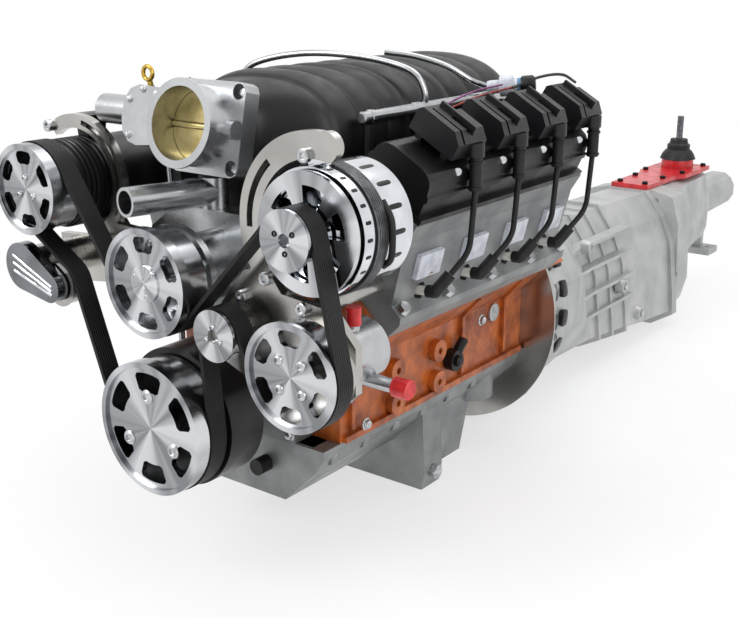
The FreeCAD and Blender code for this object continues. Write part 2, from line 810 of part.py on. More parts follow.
# Camshaft: five journals, sixteen lobes and the driven sprocket, twice the crank sprocket's size
cam_parts = [rod((0, 0, 10.0), (0, 0, sprocket_back), s.cam_core),
             rod((0, 0, sprocket_back), (0, 0, sprocket_back + s.sprocket_thickness), s.crank_sprocket * 2)]
for index in range(FOUR + 1):
    middle = main_last + s.bore_pitch * index
    cam_parts.append(rod((0, 0, middle - 10.0), (0, 0, middle + 10.0), s.cam_journal))
for index in range(FOUR * FOUR):
    turn = math.radians(index * 137.0)
    station = main_last + 20.0 + s.bore_pitch * (index // FOUR) + (index % FOUR) * (s.lobe_width + 7.0)
    centre = (s.lobe_offset * math.sin(turn), s.lobe_offset * math.cos(turn), station)
    cam_parts.append(rod(centre, (centre[0], centre[1], station + s.lobe_width), s.lobe_radius))
new_shape("camshaft", cam_parts[0].fuse(cam_parts[1:]).removeSplitter(), up=s.cam_rise)

# Timing chain: an endless band round both sprockets
CHAIN_ROUTE = [(0, 0, s.crank_sprocket, True), (0, s.cam_rise, s.crank_sprocket * 2, True)]
chain = belt_solid(CHAIN_ROUTE, float(s.chain_thickness), float(s.chain_width), float(s.running_gap))
new_shape("timing_chain", chain, forward=sprocket_back - 2.0)


def piston_level(angle, lean):
    """Height of a piston's crown along its bank for a throw angle, both measured from straight up."""
    reach = float(s.stroke) / 2
    swing = math.radians(angle - lean)
    side = reach * math.sin(swing)
    return reach * math.cos(swing) + math.sqrt(float(s.rod_length) ** 2 - side ** 2) + float(s.piston_height)


# Pistons: eight, each standing in its bore where the crank's rest position puts it
pistons = []
for bank, side, first in BANKS:
    lean = side * float(s.bank_angle)
    up_bank = V(math.sin(math.radians(lean)), math.cos(math.radians(lean)), 0)
    for index in range(FOUR):
        crown = piston_level(THROWS[FOUR - 1 - index], lean)
        foot = crown - float(s.piston_height + s.piston_skirt)
        station = V(0, 0, float(first - s.bore_pitch * index))
        pistons.append(Part.makeCylinder(float(s.bore_radius) - 0.6, crown - foot, up_bank * foot + station, up_bank))
new_shape("pistons", Part.makeCompound(pistons))

# Flywheel and clutch cover: turned steel discs on the crankshaft's rear flange
flywheel = new_body("flywheel", forward=-s.rear_flange_thickness - s.seat_gap)
revolve(flywheel, [(0, 0), (s.rear_flange_radius, 0), (s.rear_flange_radius, -6.0), (s.flywheel_radius, -6.0),
                   (s.flywheel_radius, -s.flywheel_thickness), (0, -s.flywheel_thickness)])
clutch = new_body("clutch_cover", forward=-s.rear_flange_thickness - s.seat_gap * 2 - s.flywheel_thickness)
revolve(clutch, [(28.0, 0), (s.clutch_radius, 0), (s.clutch_radius, -12.0), (s.clutch_radius * 0.8, -26.0),
                 (s.clutch_radius * 0.4, -s.clutch_depth), (28.0, -s.clutch_depth)])

# Timing cover: a flat-fronted casting over the sprockets and chain
cover = new_body("timing_cover", forward=s.block_length)
cover_outline = mirrored([(s.cover_half, -s.rail_drop), (s.cover_half, 20.0), (s.cover_half * 0.87, 150.0),
                          (s.cover_half * 0.55, s.cover_top)])
pad(cover, polygon(new_sketch(cover), cover_outline), s.cover_depth)
wall = s.cover_wall
cavity = mirrored([(s.cover_half - wall, wall - s.rail_drop), (s.cover_half - wall, 20.0),
                   (s.cover_half * 0.87 - wall, 150.0 - wall / 2), (s.cover_half * 0.55 - wall, s.cover_top - wall)])
pocket(cover, polygon(new_sketch(cover), cavity), s.cover_depth - wall, reverse=True)
pocket(cover, circle(new_sketch(cover, offset=s.cover_depth + 1.0), 0, 0, s.damper_hub + s.running_gap),
       s.cover_depth)

# Oil pan: cast, shallow in front, with a full-depth sump that is winged at its front
pan = new_body("oil_pan")
pan_top = -s.rail_drop - s.seat_gap
pan_low = -s.pan_front_depth
pan_front = s.block_length + s.cover_depth
rail_outline = [(s.skirt_half, pan_top), (s.skirt_half, pan_top - s.pan_flange)]
shallow = polygon(new_sketch(pan), mirrored(rail_outline + [
    (s.skirt_half - 14.0, -92.0), (s.pan_front_half, pan_low)]))
pad(pan, shallow, pan_front)
lug = polygon(new_sketch(pan, offset=s.pan_lug_back), mirrored([
    (s.skirt_half - 26.0, pan_top - s.pan_flange), (s.skirt_half - 2.0, pan_top - s.pan_flange),
    (s.skirt_half - 4.0, pan_top - s.pan_flange - s.pan_lug_drop), (s.skirt_half - 20.0, -92.0)]))
lug_pad = pad(pan, lug, s.pan_lug_width)
lugs = along(pan, lug_pad, s.pan_lug_run, float(s.pan_lug_count))
lugs.Reversed = False
wings = polygon(new_sketch(pan, offset=s.sump_wing_back), mirrored([
    (s.sump_wing_half - 6.0, pan_top - s.pan_flange), (s.sump_wing_half, -s.crank_height + 30.0),
    (s.sump_wing_half - 5.0, -s.crank_height)]))
pad(pan, wings, s.sump_front - s.sump_wing_back)
deep = polygon(new_sketch(pan, offset=s.sump_back), mirrored([
    (s.sump_half + 26.0, pan_top - s.pan_flange), (s.sump_half, -s.crank_height)]))
pad(pan, deep, s.sump_front - s.sump_back)
hollow = polygon(new_sketch(pan, offset=s.pan_wall), mirrored([
    (s.skirt_half - 22.0, pan_top + 1.0), (s.skirt_half - 30.0, -88.0),
    (s.pan_front_half - 10.0, pan_low + s.pan_wall)]))
pocket(pan, hollow, pan_front - s.pan_wall * 2, reverse=True)
well = polygon(new_sketch(pan, offset=s.sump_back + s.pan_wall), mirrored([
    (s.sump_half + 10.0, pan_low + s.pan_wall * 2), (s.sump_half - s.pan_wall, s.pan_wall - s.crank_height)]))
pocket(pan, well, s.sump_front - s.sump_back - s.pan_wall * 2, reverse=True)
primitive(pan, "AdditiveCylinder", {"Radius": s.filter_boss_radius, "Height": s.filter_boss_depth + 36.0},
          (s.skirt_half - 46.0, -96.0 - s.filter_boss_depth, 84.0), FreeCAD.Rotation(V(1, 0, 0), -90))


def bank_corners(side, corners):
    """Corners of a bank section, outboard positive, for the left (1) or right (-1) bank."""
    return [(side * a, b) for a, b in corners]


RAIL_LEAN = s.bank_angle - s.rail_angle


def rail_corner(out, level):
    """A point of the cover rail's own axes, in the bank's axes."""
    return (out * cosine(RAIL_LEAN) - level * sine(RAIL_LEAN), out * sine(RAIL_LEAN) + level * cosine(RAIL_LEAN))


# The cover's side from its rim up: share of the draft, of the rim's height and of the rise at each corner
COVER_SIDE = ((0.45, 0.5, 0), (0.5, 1.0, 0.08), (0.58, 0, 0.42), (0.42, 0, 0.46), (0.46, 0, 0.56), (0.66, 0, 0.6),
              (0.76, 0, 0.74), (1.0, 0, 0.87), (1.45, 0, 0.96), (2.1, 0, 1.0))

# Cylinder heads: cast, with the exhaust face outboard, the cover rail on top and plug wells
plug_root = (20.0, 246.0)
plug_mouth = (56.0, 288.0)
plug_lean = math.degrees(math.atan2(plug_mouth[1] - plug_root[1], plug_mouth[0] - plug_root[0]))
head_foot = s.deck_distance + s.gasket_gap
for bank, side, first in BANKS:
    head_start = ahead(s.head_front) - (s.first_bore - first) - s.head_length
    head = new_body(f"cylinder_head_{bank}", turn=-side * float(s.bank_angle))
    section = [(s.deck_outer, head_foot), (s.deck_outer, s.bolt_ledge - 8.0), (s.deck_outer - 6.0, s.bolt_ledge),
               (s.port_foot, s.bolt_ledge), (s.port_head, s.port_top),
               rail_corner(s.rail_outer, s.rail_level), rail_corner(-s.rail_inner, s.rail_level),
               (-108.0, 325.0), (-70.0, 262.0), (-s.deck_inner, head_foot)]
    pad(head, polygon(new_sketch(head, offset=head_start), bank_corners(side, section)), s.head_length)
    chamber = primitive(head, "SubtractiveCylinder", {"Radius": s.bore_radius - 4.0, "Height": 9.0},
                        (0, head_foot - 1.0, first), FreeCAD.Rotation(V(1, 0, 0), -90))
    along(head, chamber, s.bore_pitch * (FOUR - 1), FOUR)
    well_turn = FreeCAD.Rotation(V(0, 0, 1), side * (plug_lean - 90.0))
    well_hole = primitive(head, "SubtractiveCylinder", {"Radius": 11.5, "Height": 90.0},
                          (side * plug_root[0], plug_root[1], first),
                          well_turn.multiply(FreeCAD.Rotation(V(1, 0, 0), -90)))
    along(head, well_hole, s.bore_pitch * (FOUR - 1), FOUR)

    cover_start = head_start + (s.head_length - s.cover_length) / 2
    level = s.rail_level + s.seat_gap
    draft = s.cover_draft
    lid = new_body(f"valve_cover_{bank}", turn=-side * float(s.rail_angle))
    rim = [(s.rail_outer, level), (s.rail_outer, level + s.rim_height), (-s.rail_inner, level + s.rim_height),
           (-s.rail_inner, level)]
    pad(lid, polygon(new_sketch(lid, offset=cover_start), bank_corners(side, rim)), s.cover_length)
    hood = [(s.rail_outer - draft * out, level + s.rim_height * foot + s.cover_rise * up)
            for out, foot, up in COVER_SIDE]
    hood += [(draft * out - s.rail_inner, level + s.rim_height * foot + s.cover_rise * up)
             for out, foot, up in reversed(COVER_SIDE)]
    pad(lid, polygon(new_sketch(lid, offset=cover_start + s.cover_step), bank_corners(side, hood)),
        s.cover_length - s.cover_step * 2)
    if side < 0:
        primitive(lid, "AdditiveCylinder", {"Radius": 19.0, "Height": 16.0},
                  (-s.coil_across, level + s.cover_rise - 2.0, cover_start + s.cover_length - 26.0),
                  FreeCAD.Rotation(V(1, 0, 0), -90))
        primitive(lid, "SubtractiveCylinder", {"Radius": 12.0, "Height": 40.0},
                  (-s.coil_across, level + s.cover_rise - 20.0, cover_start + s.cover_length - 26.0),
                  FreeCAD.Rotation(V(1, 0, 0), -90))


def in_bank(side, out, level, forward, angle):
    """Front-view point from a distance outboard and a level in axes leaned by an angle."""
    lean = math.radians(float(angle))
    across = math.cos(lean) * float(out) + math.sin(lean) * float(level)
    up = math.cos(lean) * float(level) - math.sin(lean) * float(out)
    return (side * across, up, float(forward))


def both_banks(make):
    """The solids that one maker gives for every cylinder of both banks."""
    solids = []
    for bank, side, first in BANKS:
        for index in range(FOUR):
            solids.append(make(side, float(first - s.bore_pitch * index)))
    return solids


def block_in_bank(side, forward, corners, length, angle):
    """A straight block whose section lies in axes leaned by an angle, centred on a station."""
    spots = [V(*in_bank(side, a, b, forward - float(length) / 2, angle)) for a, b in corners]
    face = Part.Face(Part.makePolygon(spots + spots[:1]))
    return face.extrude(V(0, 0, float(length)))


# Exhaust port covers: eight flat plates on the heads' outboard faces
slope = (float(s.port_head - s.port_foot), float(s.port_top - s.bolt_ledge))
reach = math.hypot(*slope)
rise_way = (slope[0] / reach, slope[1] / reach)
out_way = (rise_way[1], -rise_way[0])
face_mid = (float(s.port_head + s.port_foot) / 2 + rise_way[0] * 6.0,
            float(s.port_top + s.bolt_ledge) / 2 + rise_way[1] * 6.0)


def on_face(up_face, off_face):
    return (face_mid[0] + rise_way[0] * up_face + out_way[0] * off_face,
            face_mid[1] + rise_way[1] * up_face + out_way[1] * off_face)


half = float(s.port_half_height)
lift = float(s.seat_gap)
plate_corners = [on_face(-half, lift), on_face(half, lift), on_face(half, lift + float(s.port_plate)),
                 on_face(-half, lift + float(s.port_plate))]
new_shape("port_covers", Part.makeCompound(both_banks(
    lambda side, forward: block_in_bank(side, forward, plate_corners, s.port_half_width * 2, s.bank_angle))))

# Head bolts: the outer row of hexagon heads on each head's ledge
bolts = []
for bank, side, first in BANKS:
    for index in range(FOUR + 1):
        station = float(first + s.bore_pitch / 2 - s.bore_pitch * index)
        station = min(station, float(ahead(s.head_front) - (s.first_bore - first)) - 11.0)
        station = max(station, float(ahead(s.head_front) - (s.first_bore - first) - s.head_length) + 11.0)
        lean = side * float(s.bank_angle)
        hexagon = [V(math.cos(math.radians(60 * k)), 0, math.sin(math.radians(60 * k))) * float(s.bolt_head_radius)
                   for k in range(7)]
        head_solid = Part.Face(Part.makePolygon(hexagon)).extrude(V(0, float(s.bolt_head_height), 0))
        head_solid.translate(V(side * float(s.bolt_line), float(s.bolt_ledge + s.seat_gap), station))
        head_solid.rotate(V(0, 0, 0), TURN_AXIS, -lean)
        bolts.append(head_solid)
new_shape("head_bolts", Part.makeCompound(bolts))

# Coil packs on their bracket rails, above each valve cover
coil_level = s.rail_level + s.seat_gap * 2 + s.cover_rise + s.coil_stand
coil_mid = float(s.coil_across)
coil_half = float(s.coil_width) / 2
low = float(coil_level)
top = low + float(s.coil_height)
coil_corners = [(coil_mid - coil_half, low), (coil_mid + coil_half, low), (coil_mid + coil_half, top - 12.0),
                (coil_mid + coil_half - 14.0, top), (coil_mid - coil_half + 6.0, top),
                (coil_mid - coil_half, top - 6.0)]
coil_shift = float(s.first_bore - s.coil_first)
tower_spot = (284.0, 339.0, 356.0, 13.0)


def coil(side, forward):
    """One coil: a leaned block cut by a slot and a core window, with a ridge and the round tower of its lead."""
    middle = forward - coil_shift + float(s.coil_ahead)

    def bar(shift, length, near, far, foot, head):
        corners = [(coil_mid + near, foot), (coil_mid + far, foot), (coil_mid + far, head), (coil_mid + near, head)]
        return block_in_bank(side, middle + shift, corners, length, s.rail_angle)

    body = block_in_bank(side, middle, coil_corners, s.coil_length, s.rail_angle)
    across, foot, head, shift = tower_spot
    tower = rod((side * across, foot, forward - coil_shift + shift), (side * across, head, forward - coil_shift + shift),
                s.boot_radius + 4.0)
    body = body.fuse([bar(-5.0, 5.0, -30.0, 30.0, top - 8.0, top + 6.0), tower])
    slot = bar(19.0, 4.0, -26.0, coil_half + 1.0, top - 12.0, top + 1.0)
    core = bar(2.0, 8.0, -4.0, 26.0, top - 18.0, top + 1.0)
    shoulder = bar(-21.0, 26.0, -coil_half - 1.0, -16.0, low + 15.0, top + 1.0)
    return body.cut([slot, core, shoulder]).removeSplitter()


new_shape("coil_packs", Part.makeCompound(both_banks(coil)))
rails = []
for bank, side, first in BANKS:
    middle = float(first - s.bore_pitch * 1.5 + s.coil_ahead) - coil_shift
    for out in (coil_mid - 22.0, coil_mid + 22.0):
        foot = float(s.rail_level + s.seat_gap + s.cover_rise) + float(s.seat_gap)
        corners = [(out - 5.0, foot), (out + 5.0, foot), (out + 5.0, low - float(s.seat_gap)),
                   (out - 5.0, low - float(s.seat_gap))]
        rails.append(block_in_bank(side, middle, corners, s.bore_pitch * 3 + s.coil_length * 0.8, s.rail_angle))
new_shape("coil_brackets", Part.makeCompound(rails))

# Plug leads: each hangs from its coil's boot, bends in and forward to the plug's boot
LEAD_ROUTE = [(286.0, 295.0, 13.0), (284.0, 215.0, 20.0), (268.3, 187.4, 39.3)]
COIL_BOOT = [(286.0, 338.4, 13.0), (286.0, 295.3, 13.0)]
PLUG_BOOT = [(268.17, 187.18, 39.46), (255.5, 164.9, 55.0), (243.5, 164.0, 55.0)]
PLUG_TIP = [(188.5, 159.8, 55.0), (243.2, 163.98, 55.0)]


def lead_spots(side, forward, route):
    return [(side * across, up, forward - coil_shift + shift) for across, up, shift in route]


lead_report = []
for bank, side, first in BANKS:
    leads = []
    for index in range(FOUR):
        forward = float(first - s.bore_pitch * index)
        solid, smallest, length = tube(lead_spots(side, forward, LEAD_ROUTE), s.lead_radius)
        leads.append(solid)
        section_area = math.pi * float(s.lead_radius) ** 2
        lead_report.append((bank, round(smallest, 1), round(solid.Volume / (section_area * length), 4)))
    new_shape(f"plug_leads_{bank}", Part.makeCompound(leads))
print("plug leads: bank, smallest bend radius, volume against section times length", lead_report)


def boot_pair(side, forward):
    top_boot = rod(*lead_spots(side, forward, COIL_BOOT), s.boot_radius)
    upper, bend, mouth = lead_spots(side, forward, PLUG_BOOT)
    low_boot = rod(upper, bend, s.boot_radius).fuse(rod(bend, mouth, s.boot_radius))
    return [top_boot, low_boot.fuse(Part.makeSphere(float(s.boot_radius), point(bend)))]


boots = []
for pair in both_banks(boot_pair):
    boots.extend(pair)
new_shape("plug_boots", Part.makeCompound(boots))
new_shape("spark_plugs", Part.makeCompound(both_banks(
    lambda side, forward: rod(*lead_spots(side, forward, PLUG_TIP), s.boot_radius * 0.75))))

# Intake manifold: a moulded barrel between the heads, with a row of runner humps and a throttle snout
intake = new_body("intake_manifold")
low_side = [(70.0, 196.0), (118.0, 213.0), (134.0, 236.0), (152.0, 304.0), (152.0, 308.0), (133.0, 308.0)]
barrel = [(133.0, 345.0), (129.0, 368.0), (118.0, 391.0), (101.0, 409.0), (80.0, s.intake_top - 9.0),
          (55.0, s.intake_top - 3.0), (28.0, s.intake_top)]
pad(intake, polygon(new_sketch(intake, offset=s.intake_back), mirrored(low_side + barrel)),
    ahead(s.intake_front) - s.intake_back)
rise = s.hump_rise
hump = polygon(new_sketch(intake, offset=s.intake_back + 14.0), mirrored([
    (100.0, 320.0), (133.0 + rise * 0.3, 344.0), (130.0 + rise * 0.8, 368.0), (119.0 + rise, 393.0),
    (103.0 + rise * 0.9, 412.0), (82.0 + rise * 0.6, s.intake_top - 3.0), (56.0, s.intake_top + rise * 0.7),
    (30.0, s.intake_top + rise)]))
hump_pad = pad(intake, hump, s.hump_width)
pattern = along(intake, hump_pad, ahead(s.intake_front) - s.intake_back - 28.0 - s.hump_width, float(s.hump_count))
pattern.Reversed = False
tilt_turn = FreeCAD.Rotation(V(1, 0, 0), -float(s.throttle_tilt))
lean_up = sine(s.throttle_tilt)
lean_on = cosine(s.throttle_tilt)
snout_face = (0, s.throttle_rise - lean_up * s.throttle_depth, ahead(s.throttle_face) - lean_on * s.throttle_depth)
snout_root = (0, snout_face[1] - lean_up * 70.0, snout_face[2] - lean_on * 70.0)
primitive(intake, "AdditiveCylinder", {"Radius": s.throttle_bore + 10.0, "Height": 70.0}, snout_root, tilt_turn)
primitive(intake, "SubtractiveCylinder", {"Radius": s.throttle_bore, "Height": 72.0},
          (0, snout_root[1] + lean_up * 6.0, snout_root[2] + lean_on * 6.0), tilt_turn)

# Throttle body: round bored barrel with a thin lip, square flange at the manifold and a motor housing beside
throttle = new_body("throttle_body", up=s.throttle_rise, forward=ahead(s.throttle_face), tilt=float(s.throttle_tilt))
side_half = s.throttle_half
nip = s.throttle_corner
square = [(side_half - nip, -side_half), (side_half - nip * 0.3, nip * 0.3 - side_half), (side_half, nip - side_half),
          (side_half, side_half - nip), (side_half - nip * 0.3, side_half - nip * 0.3), (side_half - nip, side_half)]
pad(throttle, circle(new_sketch(throttle), 0, 0, s.throttle_bore + s.throttle_lip), s.throttle_lip_depth, reverse=True)
pad(throttle, circle(new_sketch(throttle), 0, 0, s.throttle_bore + s.throttle_wall), s.throttle_depth - s.seat_gap,
    reverse=True)
pad(throttle, polygon(new_sketch(throttle, offset=s.throttle_flange - s.throttle_depth), mirrored(square)),
    s.throttle_flange - s.seat_gap, reverse=True)
shaft_station = -s.throttle_depth / 2
primitive(throttle, "AdditiveCylinder", {"Radius": s.shaft_radius * 2.4, "Height": s.throttle_half + 4.0},
          (0, 0, shaft_station), FreeCAD.Rotation(V(0, 1, 0), 90))
housing = polygon(new_sketch(throttle, offset=-s.throttle_lip_depth * 3), [
    (-44.0, -30.0), (-88.0, -34.0), (-104.0, -30.0), (-116.0, -18.0), (-120.0, 0.0), (-118.0, 24.0),
    (-108.0, 38.0), (-92.0, 44.0), (-44.0, 42.0)])
pad(throttle, housing, s.throttle_depth - s.throttle_lip_depth * 3 - 12.0, reverse=True)
primitive(throttle, "AdditiveCylinder", {"Radius": s.motor_radius, "Height": s.motor_length}, (-100.0, 10.0, -38.0),
          FreeCAD.Rotation(V(0, 1, 0), -90))
primitive(throttle, "AdditiveCylinder", {"Radius": s.motor_radius * 0.7, "Height": s.motor_length + 6.0},
          (-100.0, 10.0, -38.0), FreeCAD.Rotation(V(0, 1, 0), -90))
for across in (-1, 1):
    for up in (-1, 1):
        primitive(throttle, "SubtractiveCylinder", {"Radius": s.bolt_pocket, "Height": s.throttle_flange},
                  (across * (side_half - s.bolt_pocket - 2.0), up * (side_half - s.bolt_pocket - 2.0),
                   s.throttle_flange * 0.35 - s.throttle_depth))
primitive(throttle, "SubtractiveCylinder", {"Radius": s.throttle_bore, "Height": s.throttle_depth + 2.0},
          (0, 0, -s.throttle_depth - 1.0))
primitive(throttle, "SubtractiveCylinder", {"Radius": s.shaft_radius + s.running_gap, "Height": 104.0},
          (-52.0, 0, shaft_station), FreeCAD.Rotation(V(0, 1, 0), 90))

# Throttle blade: a thin disc on its cross shaft
blade_up = s.throttle_rise + lean_up * shaft_station
blade_forward = ahead(s.throttle_face) + lean_on * shaft_station
blade = new_body("throttle_blade", up=blade_up, forward=blade_forward, tilt=float(s.throttle_tilt))
pad(blade, circle(new_sketch(blade, offset=-s.blade_thickness / 2), 0, 0, s.throttle_bore - s.running_gap),
    s.blade_thickness)
primitive(blade, "AdditiveCylinder", {"Radius": s.shaft_radius, "Height": 102.0}, (-51.0, 0, 0),
          FreeCAD.Rotation(V(0, 1, 0), 90))

# Fuel rails, crossover pipe and injectors
rails = [rod((side * s.rail_across, s.rail_height, s.rail_back), (side * s.rail_across, s.rail_height, s.rail_front),
             s.rail_radius) for side in (1, -1)]
shelf = 308.0 + s.seat_gap
new_shape("fuel_injectors", Part.makeCompound(both_banks(
    lambda side, forward: rod((side * s.rail_across, shelf, forward),
                              (side * s.rail_across, s.rail_height - s.rail_radius - s.seat_gap, forward),
                              s.injector_radius))))
pipe_up = s.rail_height + s.rail_radius + s.seat_gap
cross_spots = [(side * a, b, f) for side, a, b, f in (
    (1, s.rail_across, pipe_up, 330.0), (1, s.rail_across, pipe_up + 44.0, 330.0),
    (1, 90.0, s.intake_top + 30.0, 312.0), (1, 30.0, s.intake_top + 34.0, 300.0),
    (-1, 30.0, s.intake_top + 34.0, 286.0), (-1, 90.0, s.intake_top + 30.0, 274.0),
    (-1, s.rail_across, pipe_up + 44.0, 256.0), (-1, s.rail_across, pipe_up, 256.0))]
crossover, smallest, length = tube(cross_spots, 5.0)
new_shape("fuel_rails", Part.makeCompound(rails + [crossover]))

# Serpentine belt: one endless band, ribs inwards, that runs round all seven pulleys
belt_gap = float(s.running_gap)
back_gap = belt_gap + float(s.belt_thickness)
belt_start = ahead(s.belt_plane) - s.belt_width / 2


def belt_wire(extra):
    """The belt's edge loop: ribbed pulleys carry its inner face, flat ones touch its outer face."""
    route = []
    for across, up, seat, inside in BELT_ROUTE:
        radius = float(seat) + extra if inside else float(seat) + belt_gap + back_gap - extra
        route.append((across, up, radius, inside))
    return belt_loop(route, 0.0)


belt = Part.Face(belt_wire(back_gap)).cut(Part.Face(belt_wire(belt_gap))).extrude(V(0, 0, float(s.belt_width)))
new_shape("serpentine_belt", belt, forward=belt_start)

# Billet pulleys with windows: crank, water pump, power steering and air conditioning
damper_front = belt_start - 5.0
windowed_pulley("crank_pulley", 0, 0, ahead(s.crank_face), s.crank_face_radius, s.crank_seat, 30.0,
                damper_front + s.fit_gap, 6)
windowed_pulley("water_pump_pulley", 0, s.pump_rise, ahead(s.pump_face), s.pump_face_radius, s.pump_seat,
                s.shaft_radius_small, ahead(s.pump_nose) - 32.0, 6)
windowed_pulley("power_steering_pulley", s.steering_across, s.steering_rise, ahead(s.steering_face),
                s.steering_face_radius, s.steering_seat, s.shaft_radius_small, ahead(s.pump_body_back) + 35.0, 6)
windowed_pulley("ac_pulley", s.cooler_across, s.cooler_rise, ahead(s.cooler_face), s.cooler_face_radius,
                s.cooler_seat, s.shaft_radius_small, ahead(s.cooler_plate_front) - 12.0, 6)

# Crank damper: an iron ring on a hub that passes the timing cover
damper = new_body("crank_damper", forward=damper_front)
hub_end = sprocket_back + s.sprocket_thickness + 1.0 - damper_front
snout_hole = s.snout_radius + s.fit_gap
revolve(damper, [(snout_hole, 0), (s.damper_radius, 0), (s.damper_radius, -s.damper_length),
                 (s.damper_radius - 18.0, -s.damper_length), (s.damper_radius - 18.0, -20.0),
                 (s.damper_hub, -20.0), (s.damper_hub, hub_end), (snout_hole, hub_end)])


def solid_pulley(name, across, up, face, face_radius, seat, bore, disc):
    """A small turned pulley: a flat disc in front of a plain belt seat."""
    body = new_body(name, across, up, face)
    back = belt_start - 2.0 - face
    revolve(body, [(bore, 0), (face_radius, 0), (face_radius, -disc), (seat, -disc), (seat, back), (bore, back)])
    return body


# Idler and its stud, on the accessory plate
idler_disc = ahead(s.idler_face) - ahead(s.belt_plane) - s.belt_width / 2 - 1.5
solid_pulley("idler_pulley", s.idler_across, s.idler_rise, ahead(s.idler_face), s.idler_face_radius, s.idler_seat,
             s.shaft_radius_small + s.running_gap, idler_disc)

# Tensioner: post on the passenger plate, drop-shaped arm and its pulley
plate_back = ahead(s.plate_front) - s.plate_thickness
post = new_body("tensioner_base", s.pivot_across, s.pivot_rise, ahead(s.cooler_plate_front) + s.seat_gap)
arm_back = ahead(s.arm_face) - s.arm_thickness
pad(post, circle(new_sketch(post), 0, 0, 25.0), arm_back - ahead(s.cooler_plate_front) - s.seat_gap * 2 - 1.0)
pad(post, circle(new_sketch(post), 0, 0, 9.0), ahead(s.arm_face) - ahead(s.cooler_plate_front) - 6.0)
solid_pulley("tensioner_pulley", s.tensioner_across, s.tensioner_rise, ahead(s.belt_plane) + s.belt_width / 2 + 1.5,
             s.tensioner_seat + 2.0, s.tensioner_seat, 6.0 + s.running_gap, 1.0)
arm = new_body("tensioner_arm", s.pivot_across, s.pivot_rise, arm_back)
reach_x = s.tensioner_across - s.pivot_across
reach_y = s.tensioner_rise - s.pivot_rise
pad(arm, circle(new_sketch(arm), 0, 0, s.arm_large), s.arm_thickness)
pad(arm, circle(new_sketch(arm), reach_x, reach_y, s.arm_small), s.arm_thickness)
span = math.hypot(float(reach_x), float(reach_y))
aim = math.atan2(float(reach_y), float(reach_x))
tangent = math.acos(float(s.arm_large - s.arm_small) / span)
web_corners = []
for radius, x, y, sign in ((s.arm_large, 0, 0, 1), (s.arm_large, 0, 0, -1),
                           (s.arm_small, reach_x, reach_y, -1), (s.arm_small, reach_x, reach_y, 1)):
    angle = aim + sign * tangent
    web_corners.append((radius * math.cos(angle) + x, radius * math.sin(angle) + y))
pad(arm, polygon(new_sketch(arm), web_corners), s.arm_thickness)
primitive(arm, "AdditiveCylinder", {"Radius": 6.0, "Height": 36.0 + s.arm_thickness / 2},
          (reach_x, reach_y, -36.0))
pocket(arm, circle(new_sketch(arm, offset=s.arm_thickness - 5.0), 0, 0, 9.0 + s.running_gap), s.arm_thickness)


def ring_sector(inner, outer, start, sweep, thickness, centre):
    """A flat curved arm: part of a ring between two angles, counted from across towards up."""
    outer_disc = Part.makeCylinder(float(outer), float(thickness), centre, TURN_AXIS, float(sweep))
    inner_disc = Part.makeCylinder(float(inner), float(thickness), centre, TURN_AXIS, float(sweep))
    band = outer_disc.cut(inner_disc)
    band.rotate(centre, TURN_AXIS, float(start))
    return band


def slab(corners, thickness, forward):
    """A straight plate from its front-view outline."""
    spots = [V(float(a), float(b), float(forward)) for a, b in corners]
    return Part.Face(Part.makePolygon(spots + spots[:1])).extrude(V(0, 0, float(thickness)))


# Alternator plate: a curved arm over the alternator, joined to the plate that carries the pump and idler
alt_centre = V(float(s.alternator_across), float(s.alternator_rise), float(plate_back))
thick = float(s.plate_thickness)
arm_band = ring_sector(s.arc_inner, s.arc_outer, 78.0, 142.0, thick, alt_centre)
arm_mid = float(s.arc_inner + s.arc_outer) / 2
lower_plate = slab([(72, 92), (72, 168), (112, 216), (150, 224), (172, 196), (250, 188), (284, 150),
                    (284, 92), (252, 62), (150, 62)], thick, plate_back)
plate = arm_band.fuse(lower_plate)
for turn in (80.0, 214.0):
    spot = (alt_centre.x + arm_mid * math.cos(math.radians(turn)), alt_centre.y + arm_mid * math.sin(math.radians(turn)))
    plate = plate.fuse(rod((*spot, plate_back), (*spot, ahead(s.plate_front)), s.arm_boss_radius))
plate = plate.cut(Part.makeCylinder(float(s.arc_inner), thick * 3, alt_centre - V(0, 0, thick)))
slot = ring_sector(arm_mid - 4.5, arm_mid + 4.5, 132.0, 52.0, thick * 3, alt_centre - V(0, 0, thick))
plate = plate.cut(slot)
front = float(s.block_length)
boss_spots = [(112.0, 178.0, front + 71.0), (208.0, 180.0, front - 4.0), (126.0, 78.0, front)]
for across, up, foot in boss_spots:
    plate = plate.fuse(rod((across, up, foot + 0.3), (across, up, plate_back + 2.0), 11.0))
steering_spot = (s.steering_across, s.steering_rise)
plate = plate.fuse(rod((*steering_spot, plate_back), (*steering_spot, belt_start - 5.0), 58.0))
plate = plate.cut(rod((*steering_spot, plate_back - 1.0), (*steering_spot, belt_start), 12.0))
plate = plate.fuse(rod((s.idler_across, s.idler_rise, plate_back), (s.idler_across, s.idler_rise,
                       ahead(s.idler_face) - 6.0), s.shaft_radius_small))
plate = plate.fuse(rod((s.idler_across, s.idler_rise, plate_back), (s.idler_across, s.idler_rise,
                       belt_start - 3.0), 15.0))
new_shape("alternator_bracket", plate.removeSplitter())

